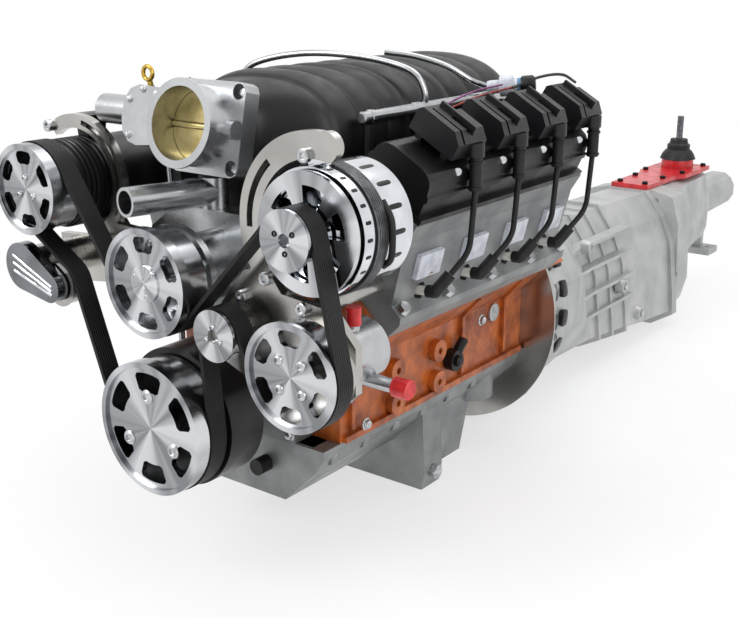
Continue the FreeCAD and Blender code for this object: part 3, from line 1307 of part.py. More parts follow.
# Alternator: chrome front and rear frames, black stator between them, rotor with fan disc and nose pulley
alt = (s.alternator_across, s.alternator_rise)
frames = []
for start, end, wall_at in ((ahead(s.stator_front) + 0.3, ahead(s.frame_front), ahead(s.frame_front) - 6.0),
                            (ahead(s.frame_back), ahead(s.stator_back) - 0.3, ahead(s.frame_back))):
    shell = rod((*alt, start), (*alt, end), s.frame_radius)
    shell = shell.cut(rod((*alt, start - 1.0), (*alt, end + 1.0), s.frame_radius - 8.0))
    end_wall = rod((*alt, wall_at), (*alt, wall_at + 6.0), s.frame_radius - 4.0)
    for k in range(6):
        turn = math.radians(60.0 * k + 30.0)
        hole = (alt[0] + 44.0 * math.cos(turn), alt[1] + 44.0 * math.sin(turn))
        end_wall = end_wall.cut(rod((*hole, wall_at - 1.0), (*hole, wall_at + 7.0), 14.0))
    shell = shell.fuse(end_wall)
    frames.append(shell.cut(rod((*alt, start - 1.0), (*alt, end + 1.0), s.shaft_radius_small + s.running_gap)))
ear = slab([(alt[0] - 18.0, alt[1] + 70.0), (alt[0] + 14.0, alt[1] + 70.0), (alt[0] + 8.0, alt[1] + 106.0),
            (alt[0] - 12.0, alt[1] + 106.0)], plate_back - ahead(s.stator_front) - 1.0, ahead(s.stator_front) + 0.7)
shell_clear = rod((*alt, ahead(s.stator_front) - 5.0), (*alt, ahead(s.frame_front) + 5.0), s.frame_radius - 2.0)
frames[0] = frames[0].fuse(ear.cut(shell_clear))
new_shape("alternator_frames", Part.makeCompound(frames))
stator = rod((*alt, ahead(s.stator_back)), (*alt, ahead(s.stator_front)), s.frame_radius + 2.0)
stator = stator.cut(rod((*alt, ahead(s.stator_back) - 1.0), (*alt, ahead(s.stator_front) + 1.0), s.frame_radius - 14.0))
new_shape("alternator_stator", stator)
rotor = rod((*alt, ahead(s.frame_back) + 1.0), (*alt, ahead(s.nose_face) - 10.0), s.shaft_radius_small)
rotor = rotor.fuse(rod((*alt, ahead(s.stator_back) - 20.0), (*alt, ahead(s.stator_front) + 8.0), s.frame_radius - 16.0))
fan = rod((*alt, ahead(s.fan_face) - s.fan_thickness), (*alt, ahead(s.fan_face) - 0.5), s.fan_radius)
window = Part.makeCylinder(float(s.fan_radius) * 0.78, 30.0, V(0, 0, 0), TURN_AXIS, 34.0)
window = window.cut(Part.makeCylinder(float(s.fan_radius) * 0.45, 30.0, V(0, 0, 0)))
for k in range(6):
    hole = window.copy()
    hole.rotate(V(0, 0, 0), TURN_AXIS, 60.0 * k)
    hole.translate(V(float(alt[0]), float(alt[1]), float(ahead(s.fan_face)) - 20.0))
    fan = fan.cut(hole)
new_shape("alternator_rotor", rotor.fuse(fan))
solid_pulley("alternator_pulley", *alt, ahead(s.nose_face), s.nose_face_radius, s.nose_seat,
             s.shaft_radius_small + s.fit_gap, ahead(s.nose_face) - ahead(s.belt_plane) - s.belt_width / 2 - 1.5)

# Power steering pump with its two protective caps
pump = rod((*steering_spot, ahead(s.pump_body_back)), (*steering_spot, plate_back - s.seat_gap), s.pump_body_radius)
pump = pump.cut(rod((*steering_spot, ahead(s.pump_body_back) + 33.0), (*steering_spot, plate_back), s.shaft_radius_small + s.running_gap))
fitting = (240.0, 84.0, float(ahead(s.pump_body_back)) + 22.0)
pump = pump.fuse(rod(fitting, (290.0, fitting[1], fitting[2]), 9.0))
neck = (240.0, 130.0, float(ahead(s.pump_body_back)) + 39.0)
pump = pump.fuse(rod(neck, (neck[0], 157.0, neck[2]), 8.0))
new_shape("power_steering_pump", pump.removeSplitter())
caps_shape = [rod((290.3, fitting[1], fitting[2]), (312.0, fitting[1], fitting[2]), 12.5),
              rod((neck[0], 157.3, neck[2]), (neck[0], 180.0, neck[2]), 9.5)]
new_shape("power_steering_caps", Part.makeCompound(caps_shape))

# Passenger plate: curved arm round the compressor, with a leg to the engine and the tensioner's seat
cool = V(float(s.cooler_across), float(s.cooler_rise), float(ahead(s.cooler_plate_front)) - thick)
cool_arm = ring_sector(s.arm_arc_inner, s.arm_arc_outer, -75.0, 200.0, thick, cool)
leg = slab([(-268, 150), (-268, 205), (-222, 208), (-150, 234), (-96, 232), (-84, 190), (-130, 152),
            (-212, 142)], thick, cool.z)
cool_plate = cool_arm.fuse(leg).cut(Part.makeCylinder(float(s.arm_arc_inner), thick * 3, cool - V(0, 0, thick)))
arm_slot = ring_sector(78.0, 85.0, -30.0, 110.0, thick * 3, cool - V(0, 0, thick))
cool_plate = cool_plate.cut(arm_slot)
for across, up, foot in ((-112.0, 200.0, front + 71.0), (-162.0, 200.0, front - 28.0)):
    cool_plate = cool_plate.fuse(rod((across, up, foot + 0.3), (across, up, cool.z + 2.0), 11.0))
new_shape("accessory_bracket", cool_plate.removeSplitter())

# Compressor: turned body with two lugs that bolt to the back of the passenger plate
cooler = (s.cooler_across, s.cooler_rise)
compressor = rod((*cooler, ahead(s.compressor_back)), (*cooler, ahead(s.compressor_front)), s.compressor_radius)
compressor = compressor.fuse(rod((*cooler, ahead(s.compressor_back) - 26.0), (*cooler, ahead(s.compressor_back) + 2.0),
                                 s.compressor_radius * 0.8))
for turn in (88.0, -60.0):
    lug = ring_sector(s.compressor_radius - 8.0, s.arm_arc_outer, turn - 10.0, 20.0, 30.0,
                      V(float(cooler[0]), float(cooler[1]), float(cool.z) - 30.3))
    compressor = compressor.fuse(lug)
compressor = compressor.cut(rod((*cooler, cool.z - 2.0), (*cooler, cool.z + 100.0), s.shaft_radius_small + s.running_gap))
new_shape("ac_compressor", compressor.removeSplitter())

# Water pump housing: casting in front of the timing cover, with its nose and front flange
pump_back = s.block_length + s.cover_depth + s.seat_gap
housing = new_body("water_pump_housing")
arms = mirrored([(64.0, 150.0), (128.0, 162.0), (136.0, 192.0), (128.0, 226.0), (76.0, 262.0)])
pad(housing, polygon(new_sketch(housing, offset=pump_back), arms), ahead(s.pump_arm_front) - pump_back)
for radius, start, end in ((46.0, ahead(s.pump_arm_front) - 5.0, ahead(s.pump_nose)), (66.0, ahead(s.pump_nose), ahead(s.pump_nose) + 10.0)):
    primitive(housing, "AdditiveCylinder", {"Radius": radius, "Height": end - start}, (0, s.pump_rise, start))
primitive(housing, "SubtractiveCylinder", {"Radius": s.shaft_radius_small + s.running_gap, "Height": 60.0},
          (0, s.pump_rise, ahead(s.pump_nose) - 36.0))

# Hose necks: machined aluminium, each a flat-backed turret on the pump casting with its pipe leaving forward
necks = []
neck_root = float(ahead(s.pump_arm_front)) - 17.0
for root, mouth, outer, inner in (((-22.0, 262.3, neck_root), (-42.0, 288.0, neck_root + 136.0), 19.0, 15.0),
                                  ((-58.5, 262.3, neck_root), (-66.0, 283.0, neck_root + 58.0), 14.0, 11.0)):
    bend = (root[0], mouth[1] - 4.0, root[2])
    turret = rod(root, (root[0], bend[1] + outer + 1.0, root[2]), outer + 1.0)
    pipe = turret.fuse(rod(bend, mouth, outer))
    heading = (V(*mouth) - V(*bend)).normalize()
    floor = V(*bend) + heading * 2.0
    flat_back = Part.makeCylinder(60.0, 40.0, V(*bend) - heading * (outer - 2.0), -heading)
    necks.append(pipe.cut([flat_back, Part.makeCylinder(inner, 200.0, floor, heading)]))
new_shape("hose_necks", Part.makeCompound(necks))

# Sensors: crank sensor on the cover, knock sensor on the block's side, temperature sender in the head
knock = (s.skirt_half + s.seat_gap, -11.0, 222.0)
sensors = [rod((42.0, -100.0, pan_front + s.seat_gap), (42.0, -100.0, pan_front + 22.0), 12.0),
           rod(knock, (knock[0] + 16.0, knock[1], knock[2]), 17.0)]
new_shape("sensors", Part.makeCompound(sensors))

# Dipstick and its tube, which rises from the pan's rail in front of the block
TUBE_ROUTE = [(-135.0, -57.0, front + 18.0), (-138.0, 200.0, front + 18.0), (-144.0, 330.0, front + 22.0),
              (-150.0, 412.0, front + 38.0)]
guide, smallest, length = tube(TUBE_ROUTE, s.guide_radius)
tip = V(*TUBE_ROUTE[-1])
heading = (tip - V(*TUBE_ROUTE[-2])).normalize()
guide = guide.cut(Part.makeCylinder(float(s.stick_radius + s.running_gap), float(s.stick_depth) + 2.0, tip + heading,
                                    heading * -1))
new_shape("dipstick_tube", guide)
print("dipstick tube: smallest bend radius", round(smallest, 1))
stick = Part.makeCylinder(float(s.stick_radius), float(s.stick_depth), tip, heading * -1)
grip = tip + heading * float(s.seat_gap)
stem = Part.makeCylinder(float(s.guide_radius) - 1.0, 8.0, grip, heading)
neck_rod = Part.makeCylinder(float(s.stick_radius), 1.0, tip, heading)
loop = Part.makeTorus(9.0, 3.0, grip + heading * 18.0, V(0, 0, 1))
new_shape("dipstick", stem.fuse([loop, stick, neck_rod]))

# Oil filler cap on the right valve cover's neck
cap_forward = float(ahead(s.head_front) - s.bank_stagger) - 31.0
cap_level = float(s.rail_level + s.seat_gap + s.cover_rise) + 14.0 + float(s.seat_gap)
fill_cap = new_body("oil_filler_cap", *in_bank(-1, s.coil_across, cap_level, 0, s.rail_angle)[:2], cap_forward,
                    turn=float(s.rail_angle))
primitive(fill_cap, "AdditiveCylinder", {"Radius": 22.0, "Height": 12.0}, (0, 0, 0),
          FreeCAD.Rotation(V(1, 0, 0), -90))
primitive(fill_cap, "AdditiveBox", {"Length": 34.0, "Width": 8.0, "Height": 8.0}, (-17.0, 11.0, -4.0))
primitive(fill_cap, "AdditiveCylinder", {"Radius": 11.5, "Height": 14.0}, (0, -13.0, 0),
          FreeCAD.Rotation(V(1, 0, 0), -90))

# Dust plate between block and bell
dust = new_body("dust_cover", forward=-s.seat_gap)
pad(dust, circle(new_sketch(dust), 0, 0, s.bell_radius), s.dust_plate, reverse=True)
pocket(dust, circle(new_sketch(dust), 0, 0, s.rear_flange_radius + 8.0), s.dust_plate + 1.0)

# Gearbox: bell and main case in one casting, round at the block and bell-shaped at its rear flange
ROUND = ((0.38, 0.925), (0.74, 0.672), (0.965, 0.26), (0.965, -0.26), (0.74, -0.672), (0.38, -0.925))
GATE = ((0.34, 1.0), (0.66, 0.42), (0.86, -0.1), (0.96, -0.62), (1.0, -0.86), (0.62, -1.0))
BOX = ((0.38, 1.0), (0.8, 0.86), (0.95, 0.2), (1.0, -0.62), (0.9, -0.88), (0.62, -1.0))


def section(body, offset, shape, half_width, top_reach, bottom_reach):
    """A twelve-cornered section on its own station behind the block."""
    side = [(half_width * a, (top_reach if b > 0 else bottom_reach) * b) for a, b in shape]
    return polygon(new_sketch(body, offset=offset), mirrored(side))


def skin(body, kind, stations):
    """A straight-sided loft through sections, added or cut."""
    sketches = [section(body, *station) for station in stations]
    feature = body.newObject(f"PartDesign::{kind}", f"{body.Name}_{kind}")
    feature.Profile = sketches[0]
    feature.Sections = sketches[1:]
    feature.Ruled = True
    return feature


bell_front = -(s.dust_plate + s.seat_gap * 2)
wall = s.bell_wall
waist = -s.bell_depth * 2
bell_end = (-s.bell_depth, ROUND, s.bell_radius * 0.84, s.bell_radius * 0.68, s.bell_radius * 0.88)
case = new_body("gearbox_case")
skin(case, "AdditiveLoft", [
    (bell_front, ROUND, s.bell_radius, s.bell_radius, s.bell_radius),
    (bell_front - s.flange_width, ROUND, s.bell_radius, s.bell_radius, s.bell_radius)])
skin(case, "AdditiveLoft", [
    (bell_front - s.flange_width, ROUND, s.bell_radius * 0.93, s.bell_radius * 0.9, s.bell_radius * 0.95),
    bell_end,
    (waist, GATE, s.case_waist, s.case_rise_front, s.case_drop_front),
    (-s.case_length, GATE, s.case_half - s.flange_lip, s.case_top - s.flange_lip / 2, s.case_bottom - s.flange_lip)])
skin(case, "AdditiveLoft", [
    (s.flange_width - s.case_length, GATE, s.case_half, s.case_top, s.case_bottom),
    (-s.case_length, GATE, s.case_half, s.case_top, s.case_bottom)])

# Outer ribs: cast webs round the waist and along the flanks, standing rib_height proud of the case
for share in (0.12, 0.36, 0.62):
    station = waist - (s.case_length - s.bell_depth * 2) * (share * 0.62)
    grow = s.rib_height
    skin(case, "AdditiveLoft", [
        (station, GATE, s.case_waist + grow, s.case_rise_front + grow * 0.3, s.case_drop_front + grow + 34.0 * share),
        (station - s.rib_width, GATE, s.case_waist + grow, s.case_rise_front + grow * 0.3,
         s.case_drop_front + grow + 34.0 * share)])
for side in (1, -1):
    for rise in (48.0, 2.0, -46.0, -92.0):
        outer = s.case_waist + s.rib_height - abs(rise + 70.0) * 0.16
        rib = polygon(new_sketch(case, "XZ_Plane", offset=-rise), [
            (side * (outer - 26.0), -s.bell_depth * 1.1), (side * (outer + 14.0), -s.bell_depth * 1.1),
            (side * outer, waist), (side * outer, waist - 190.0), (side * (outer - 26.0), waist - 190.0)])
        pad(case, rib, s.rib_width, reverse=True)
skin(case, "SubtractiveLoft", [
    (bell_front + 1.0, ROUND, s.bell_radius - 14.0, s.bell_radius - 14.0, s.bell_radius - 14.0),
    (12.0 - s.bell_depth, ROUND, s.bell_radius * 0.84 - wall * 2, s.bell_radius * 0.68 - wall * 2,
     s.bell_radius * 0.88 - wall * 2)])
skin(case, "SubtractiveLoft", [
    (-s.bell_depth - 12.0, GATE, s.case_waist - wall, s.case_top - wall * 2, s.case_drop_front - wall * 2),
    (waist, GATE, s.case_waist - wall * 1.5, s.case_rise_front - wall * 3, s.case_drop_front - wall * 2),
    (-s.case_length - 1.0, GATE, s.case_half - s.flange_lip - wall * 1.5, s.case_top - wall * 2,
     s.case_bottom - s.flange_lip - wall * 1.5)])
pocket(case, circle(new_sketch(case, offset=-s.bell_depth + 20.0), 0, 0, 26.0), 60.0)

# Tail housing: squarer than the case at its flange, then a narrow nose, with the rear mounting pad below
tail = new_body("tail_housing")
tail_front = -s.case_length - s.seat_gap
plate_end = tail_front - s.rear_plate
skin(tail, "AdditiveLoft", [
    (tail_front, GATE, s.case_half, s.case_top, s.case_bottom),
    (tail_front - s.flange_width, GATE, s.case_half, s.case_top, s.case_bottom)])
skin(tail, "AdditiveLoft", [
    (tail_front - s.flange_width, BOX, s.case_half - s.flange_lip, s.case_top, s.case_bottom - s.flange_lip),
    (plate_end, BOX, s.case_half * 0.94, s.case_top, s.case_bottom * 0.88)])
skin(tail, "AdditiveLoft", [
    (plate_end, BOX, s.case_half * 0.68, s.case_top, s.case_bottom * 0.52),
    (-s.lid_back, BOX, s.lid_half * 1.1, s.case_top, s.case_bottom * 0.4),
    (-s.lid_back - 40.0, ROUND, s.tail_radius, s.tail_radius, s.tail_radius),
    (-s.tail_length, ROUND, s.tail_radius * 0.9, s.tail_radius * 0.9, s.tail_radius * 0.9)])
pad_top = -s.pad_drop
primitive(tail, "AdditiveBox", {"Length": s.pad_half * 2, "Width": s.pad_thickness, "Height": 60.0},
          (-s.pad_half, pad_top, -s.pad_station - 30.0))
primitive(tail, "AdditiveBox", {"Length": s.pad_half, "Width": s.pad_drop - s.pad_thickness, "Height": 16.0},
          (-s.pad_half / 2, pad_top + s.pad_thickness / 2, -s.pad_station - 8.0))
for sign in (1, -1):
    primitive(tail, "SubtractiveCylinder", {"Radius": s.pad_hole_radius, "Height": s.pad_thickness + 2.0},
              (sign * s.pad_hole_pitch / 2, pad_top - 1.0, -s.pad_station), FreeCAD.Rotation(V(1, 0, 0), -90))
primitive(tail, "SubtractiveCylinder", {"Radius": s.output_radius - s.output_step + s.fit_gap,
                                        "Height": s.tail_length},
          (0, 0, -s.tail_length - 1.0))
skin(tail, "SubtractiveLoft", [
    (tail_front + 1.0, GATE, s.case_half - wall * 2, s.case_top - wall * 2, s.case_bottom - wall * 2),
    (plate_end + wall, GATE, s.case_half * 0.8 - wall, s.case_top - wall * 2, s.case_bottom * 0.8 - wall)])
skin(tail, "SubtractiveLoft", [
    (plate_end + wall + 1.0, BOX, s.case_half * 0.68 - wall, s.case_top - wall, s.case_bottom * 0.52 - wall),
    (12.0 - s.lid_back, BOX, s.lid_half * 1.1 - wall, s.case_top - wall, s.case_bottom * 0.4 - wall)])

# Output shaft: turned, in the tail housing's bore, with a wider coupling end outside
shaft = new_body("output_shaft", forward=-s.tail_length)
inner_end = s.tail_length - s.case_length - 40.0
journal = s.output_radius - s.output_step
revolve(shaft, [(0, inner_end), (journal - 3.0, inner_end), (journal, inner_end - 14.0), (journal, -s.seat_gap),
                (s.output_radius, -s.seat_gap), (s.output_radius, -s.output_reach), (0, -s.output_reach)])

# Top cover with shift tower, boot and gear lever
lid = new_body("gearbox_top_cover", up=s.case_top + s.seat_gap)
lid_shoulder = s.lever_station - s.tower_radius * 3
lid_plan = mirrored([(s.lid_neck, -s.lid_front), (s.lid_neck, -lid_shoulder), (s.lid_half, -lid_shoulder - 26.0),
                     (s.lid_half, -s.lid_back)])
lid_sketch = new_sketch(lid, "XZ_Plane")
polygon(lid_sketch, lid_plan)
pad(lid, lid_sketch, s.lid_thickness, reverse=True)
upright = FreeCAD.Rotation(V(1, 0, 0), -90)
ball_level = s.lid_thickness + s.tower_height / 2
ball_spot = (0, ball_level, -s.lever_station)
primitive(lid, "AdditiveCylinder", {"Radius": s.tower_radius, "Height": s.tower_height / 2 + 2.0},
          (0, s.lid_thickness - 2.0, -s.lever_station), upright)
primitive(lid, "AdditiveSphere", {"Radius": s.tower_radius, "Angle1": 0.0}, ball_spot, upright)
primitive(lid, "SubtractiveCylinder", {"Radius": s.ball_radius + s.running_gap, "Height": s.ball_radius + 1.0},
          (0, ball_level - s.ball_radius - 0.5, -s.lever_station), upright)
primitive(lid, "SubtractiveCylinder", {"Radius": s.tower_mouth, "Height": s.tower_radius + 2.0}, ball_spot, upright)

# Boot and lever share the ball's centre; the boot's skirt is a shell over the tower's dome
ball_up = s.case_top + s.seat_gap + ball_level
boot = new_body("shifter_boot", up=ball_up, forward=-s.lever_station)
boot.Placement = FreeCAD.Placement(boot.Placement.Base, FreeCAD.Rotation())
inner_dome = s.tower_radius + s.running_gap
outer_dome = inner_dome + s.boot_wall
skirt = [(inner_dome * cosine(lean), inner_dome * sine(lean)) for lean in (66.0, 48.0, 30.0, 14.0)]
shell = [(outer_dome * cosine(lean), outer_dome * sine(lean)) for lean in (14.0, 30.0, 44.0)]
stem_hole = s.lever_radius + s.fit_gap
revolve(boot, [(stem_hole, inner_dome)] + skirt + shell + [
    (s.boot_waist, outer_dome * sine(50.0)), (s.boot_waist, s.boot_height - 8.0), (s.boot_waist - 5.0, s.boot_height - 4.0),
    (s.boot_waist - 7.0, s.boot_height + 6.0), (stem_hole, s.boot_height + 6.0)])
lever = new_body("gear_lever", up=ball_up, forward=-s.lever_station)
lever.Placement = FreeCAD.Placement(lever.Placement.Base, FreeCAD.Rotation())
lever_rise = s.lever_top - ball_up
ring = [(s.ball_radius * cosine(lean), s.ball_radius * sine(lean)) for lean in (-60.0, -30.0, 0.0, 30.0, 50.0)]
revolve(lever, [(0, -s.ball_radius)] + ring + [(s.lever_radius, s.ball_radius * sine(54.0)),
                                               (s.lever_radius, lever_rise), (0, lever_rise)])

doc.recompute()
for item in doc.Objects:
    if "Invalid" in item.State or "Error" in item.State:
        raise RuntimeError(f"{item.Name} failed: {item.State}")
for item in parts:
    shape = item.Shape
    if shape.isNull() or not shape.isValid():
        raise RuntimeError(f"{item.Label} has no valid shape")
    shape.exportStep(f"parts/{item.Label}.step")
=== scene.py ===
"""Dressed V8 engine with its manual gearbox, on a white studio sweep."""
import math

import bmesh
import bpy
import numpy as np
from mathutils import Euler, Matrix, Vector


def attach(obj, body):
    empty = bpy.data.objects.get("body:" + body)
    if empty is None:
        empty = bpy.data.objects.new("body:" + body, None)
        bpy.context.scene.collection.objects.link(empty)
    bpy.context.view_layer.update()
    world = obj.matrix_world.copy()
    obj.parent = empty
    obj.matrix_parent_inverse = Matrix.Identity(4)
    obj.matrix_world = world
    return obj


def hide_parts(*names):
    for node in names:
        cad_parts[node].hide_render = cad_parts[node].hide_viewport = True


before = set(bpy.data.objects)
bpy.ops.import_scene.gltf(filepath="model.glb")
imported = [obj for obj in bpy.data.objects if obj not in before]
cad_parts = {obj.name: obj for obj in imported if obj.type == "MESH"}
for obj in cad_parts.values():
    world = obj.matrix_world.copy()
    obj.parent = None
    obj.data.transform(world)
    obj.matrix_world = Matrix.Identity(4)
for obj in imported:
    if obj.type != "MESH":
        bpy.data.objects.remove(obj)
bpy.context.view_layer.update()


# Camera, floor and light
# The engine stands on a white paper sweep under three soft boxes, in front of a white wall. It is
# seen from its left front corner, a little from above, through a short telephoto lens.

def linear(code):
    """An sRGB hex colour as linear RGBA: each channel through the sRGB curve."""
    channels = [int(code[i:i + 2], 16) / 255 for i in (1, 3, 5)]
    return (*[c / 12.92 if c <= 0.04045 else ((c + 0.055) / 1.055) ** 2.4 for c in channels], 1.0)


def node(tree, kind, settings=None, **inputs):
    """Adds a node, sets its properties, and links or sets each of its inputs.

    An input is named with _ for a space, or given by its number, as i0 or i1.
    """
    made = tree.nodes.new(kind)
    for key, value in (settings or {}).items():
        setattr(made, key, value)
    for key, value in inputs.items():
        numbered = key[0] == "i" and key[1:].isdigit()
        socket = made.inputs[int(key[1:]) if numbered else key.replace("_", " ")]
        if isinstance(value, bpy.types.NodeSocket):
            tree.links.new(value, socket)
        else:
            socket.default_value = value
    return made


def material(name, **shader_inputs):
    """A new material with its principled shader, whose own sockets are set by name."""
    made = bpy.data.materials.new(name)
    made.use_nodes = True
    tree = made.node_tree
    shader = tree.nodes["Principled BSDF"]
    for key, value in shader_inputs.items():
        shader.inputs[key.replace("_", " ")].default_value = value
    return made, tree, shader


def seen_directly(tree):
    """One where a ray comes from the camera, a mirror or glass: the sum of the three, held at one."""
    rays = node(tree, "ShaderNodeLightPath").outputs
    total = rays["Is Camera Ray"]
    for kind in ("Is Glossy Ray", "Is Transmission Ray"):
        total = node(tree, "ShaderNodeMath", {"operation": "ADD", "use_clamp": True},
                     i0=total, i1=rays[kind]).outputs[0]
    return total


# The camera's place in metres and its two angles, as the circles of the pulleys and the pitch of
# the head bolts give them.
CAMERA_PLACE = (1.01197, -1.38973, 0.78583)
DEGREES_ABOVE = 17.257
DEGREES_ASIDE = 36.886
camera = bpy.data.objects.new("camera", bpy.data.cameras.new("camera"))
bpy.context.scene.collection.objects.link(camera)
bpy.context.scene.camera = camera
camera.data.lens = 53.77
camera.data.sensor_width = 36.0
camera.data.clip_end = 60.0
camera.location = CAMERA_PLACE
camera.rotation_euler = Euler((math.radians(90 - DEGREES_ABOVE), 0, math.radians(DEGREES_ASIDE)))

FLOOR_HALF = 14.0
floor_corners = [(across * FLOOR_HALF, back * FLOOR_HALF, 0)
                 for across, back in ((-1, -1), (1, -1), (1, 1), (-1, 1))]
floor_mesh = bpy.data.meshes.new("floor")
floor_mesh.from_pydata(floor_corners, [], [(0, 1, 2, 3)])
floor = bpy.data.objects.new("floor", floor_mesh)
bpy.context.scene.collection.objects.link(floor)
# White paper: it shows the shadow near the engine and fades to the white of the wall, in metres
# from the engine's middle.
WHITE = (1, 1, 1, 1)
ENGINE_MIDDLE = (0.0, 0.3, 0.0)
paper, paper_tree, paper_shader = material("white_paper", Roughness=0.9, Specular_IOR_Level=0.1)
paper_fibre = node(paper_tree, "ShaderNodeTexNoise", Scale=400.0)
paper_tint = node(paper_tree, "ShaderNodeMix", {"data_type": "RGBA"}, Factor=paper_fibre.outputs["Fac"],
                  A=linear("#f6f6f6"), B=linear("#fcfcfc"))
paper_tree.links.new(paper_tint.outputs["Result"], paper_shader.inputs["Base Color"])
floor_place = node(paper_tree, "ShaderNodeTexCoord").outputs["Object"]
from_engine = node(paper_tree, "ShaderNodeVectorMath", {"operation": "DISTANCE"},
                   i0=floor_place, i1=ENGINE_MIDDLE)
fade = node(paper_tree, "ShaderNodeMapRange", {"interpolation_type": "SMOOTHSTEP"},
            Value=from_engine.outputs["Value"], From_Min=0.4, From_Max=1.5, To_Min=0.6, To_Max=1.0)
glow_share = node(paper_tree, "ShaderNodeMath", {"operation": "MULTIPLY"},
                  i0=seen_directly(paper_tree), i1=fade.outputs["Result"])
glow = node(paper_tree, "ShaderNodeEmission", Color=WHITE, Strength=1.0)
paper_mix = node(paper_tree, "ShaderNodeMixShader", i0=glow_share.outputs[0], i1=paper_shader.outputs[0],
                 i2=glow.outputs[0])
paper_tree.links.new(paper_mix.outputs[0], paper_tree.nodes["Material Output"].inputs["Surface"])
floor_mesh.materials.append(paper)

world = bpy.data.worlds.new("studio")
bpy.context.scene.world = world
world.use_nodes = True
sky = world.node_tree
sky.nodes.clear()
# The room lights the engine: grey from below, darkest near the horizon, and nearly white overhead.
sky_place = node(sky, "ShaderNodeTexCoord").outputs["Generated"]
sky_height = node(sky, "ShaderNodeSeparateXYZ", Vector=sky_place).outputs["Z"]
sky_level = node(sky, "ShaderNodeMapRange", Value=sky_height, From_Min=-1.0, From_Max=1.0)
room = node(sky, "ShaderNodeValToRGB", Fac=sky_level.outputs["Result"])
room.color_ramp.elements[0].color = (0.5, 0.5, 0.51, 1)
room.color_ramp.elements[1].color = (0.95, 0.96, 0.98, 1)
room.color_ramp.elements[1].position = 0.8
for position, level in ((0.45, 0.4), (0.58, 0.6)):
    step = room.color_ramp.elements.new(position)
    step.color = (level, level, level * 1.01, 1)
lit = node(sky, "ShaderNodeBackground", Color=room.outputs["Color"], Strength=0.6)
wall_white = node(sky, "ShaderNodeBackground", Color=WHITE, Strength=1.0)
sky_mix = node(sky, "ShaderNodeMixShader", i0=seen_directly(sky), i1=lit.outputs[0],
               i2=wall_white.outputs[0])
node(sky, "ShaderNodeOutputWorld", Surface=sky_mix.outputs[0])

# Each soft box: its name, its place and side in metres, and its watts. All face the engine.
LIT_SPOT = Vector((0, 0.2, 0.35))
for name, place, side, watts in (("key", (-1.7, -2.9, 2.9), 2.2, 82), ("fill", (3.2, -0.8, 2.2), 2.4, 46),
                                 ("top", (0.1, 1.0, 3.4), 3.4, 56)):
    lamp = bpy.data.lights.new(name, "AREA")
    lamp.size = side
    lamp.energy = watts
    stand = bpy.data.objects.new(name, lamp)
    bpy.context.scene.collection.objects.link(stand)
    stand.location = place
    stand.rotation_euler = (LIT_SPOT - Vector(place)).to_track_quat("-Z", "Y").to_euler()
bpy.context.scene.view_settings.view_transform = "Standard"


# Engine block
# Grey iron cast in sand and sprayed with orange engine enamel. The core plugs, the drain plug and
# the bolts in its flanks are zinc-plated steel, and the bearing caps are bare machined iron.

def finish(name, dark, light, blotch, grain, depth, **shader_inputs):
    """A two-tone surface, with its blotches, its grain and the grain's depth in millimetres.

    A cloudy noise as wide as the blotches mixes the two colours and makes the light one smoother. A
    second noise as wide as the grain raises the surface by the depth.
    """
    made, tree, shader = material(name, **shader_inputs)
    place = node(tree, "ShaderNodeTexCoord").outputs["Object"]
    clouds = node(tree, "ShaderNodeTexNoise", Vector=place, Scale=1000.0 / blotch, Detail=4.0)
    # The middle third of the noise is spread over the whole mix.
    spread = node(tree, "ShaderNodeMapRange", Value=clouds.outputs["Fac"], From_Min=0.33, From_Max=0.67)
    tint = node(tree, "ShaderNodeMix", {"data_type": "RGBA"}, Factor=spread.outputs["Result"],
                A=linear(dark), B=linear(light))
    tree.links.new(tint.outputs["Result"], shader.inputs["Base Color"])
    rough = shader.inputs["Roughness"].default_value
    polish = node(tree, "ShaderNodeMapRange", Value=spread.outputs["Result"],
                  To_Min=rough * 1.18, To_Max=rough * 0.86)
    tree.links.new(polish.outputs["Result"], shader.inputs["Roughness"])
    lumps = node(tree, "ShaderNodeTexNoise", Vector=place, Scale=1000.0 / grain, Detail=5.0, Roughness=0.6)
    bump = node(tree, "ShaderNodeBump", Height=lumps.outputs["Fac"], Distance=depth / 1000.0)
    tree.links.new(bump.outputs["Normal"], shader.inputs["Normal"])
    return made


def dress(made, *names):
    """Gives CAD nodes a material: every slot of each node's mesh takes it."""
    for name in names:
        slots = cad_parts[name].data.materials
        if not slots:
            slots.append(made)
        for i in range(len(slots)):
            slots[i] = made


# Sprayed enamel over sand-cast iron: the mould's sand shows through the gloss, drawn 5 mm wide so
# that it shows here, and the coat is darker where it is thin.
enamel = finish("orange_enamel_on_sand_cast_iron", "#7e3607", "#bd5f14", 26, 5.0, 1.6,
                Roughness=0.44, Coat_Weight=0.3, Coat_Roughness=0.25)
dress(enamel, "engine_block")
# Bright zinc plate on rolled steel: cool grey with faint clouds.
zinc = finish("zinc_plated_steel", "#a2a4a6", "#d6d8da", 7, 1.0, 0.04, Metallic=1.0, Roughness=0.28)
dress(zinc, "block_plugs")
# Milled grey iron: dark, with a soft sheen.
iron = finish("machined_grey_iron", "#58595b", "#7b7c7e", 14, 1.0, 0.08, Metallic=1.0, Roughness=0.42)
dress(iron, "main_caps")

# New pieces are drawn in front-view millimetres: across, up from the crank's line, and forward
# from a plane 192 mm behind the origin.
REAR_FACE = 192.0
CRANK_HEIGHT = 217.0


def spot(points):
    """Front-view millimetres (across, up, forward) to the model's own frame in metres."""
    p = np.asarray(points, float)
    return np.stack([p[..., 0], REAR_FACE - p[..., 2], CRANK_HEIGHT + p[..., 1]], -1) / 1000


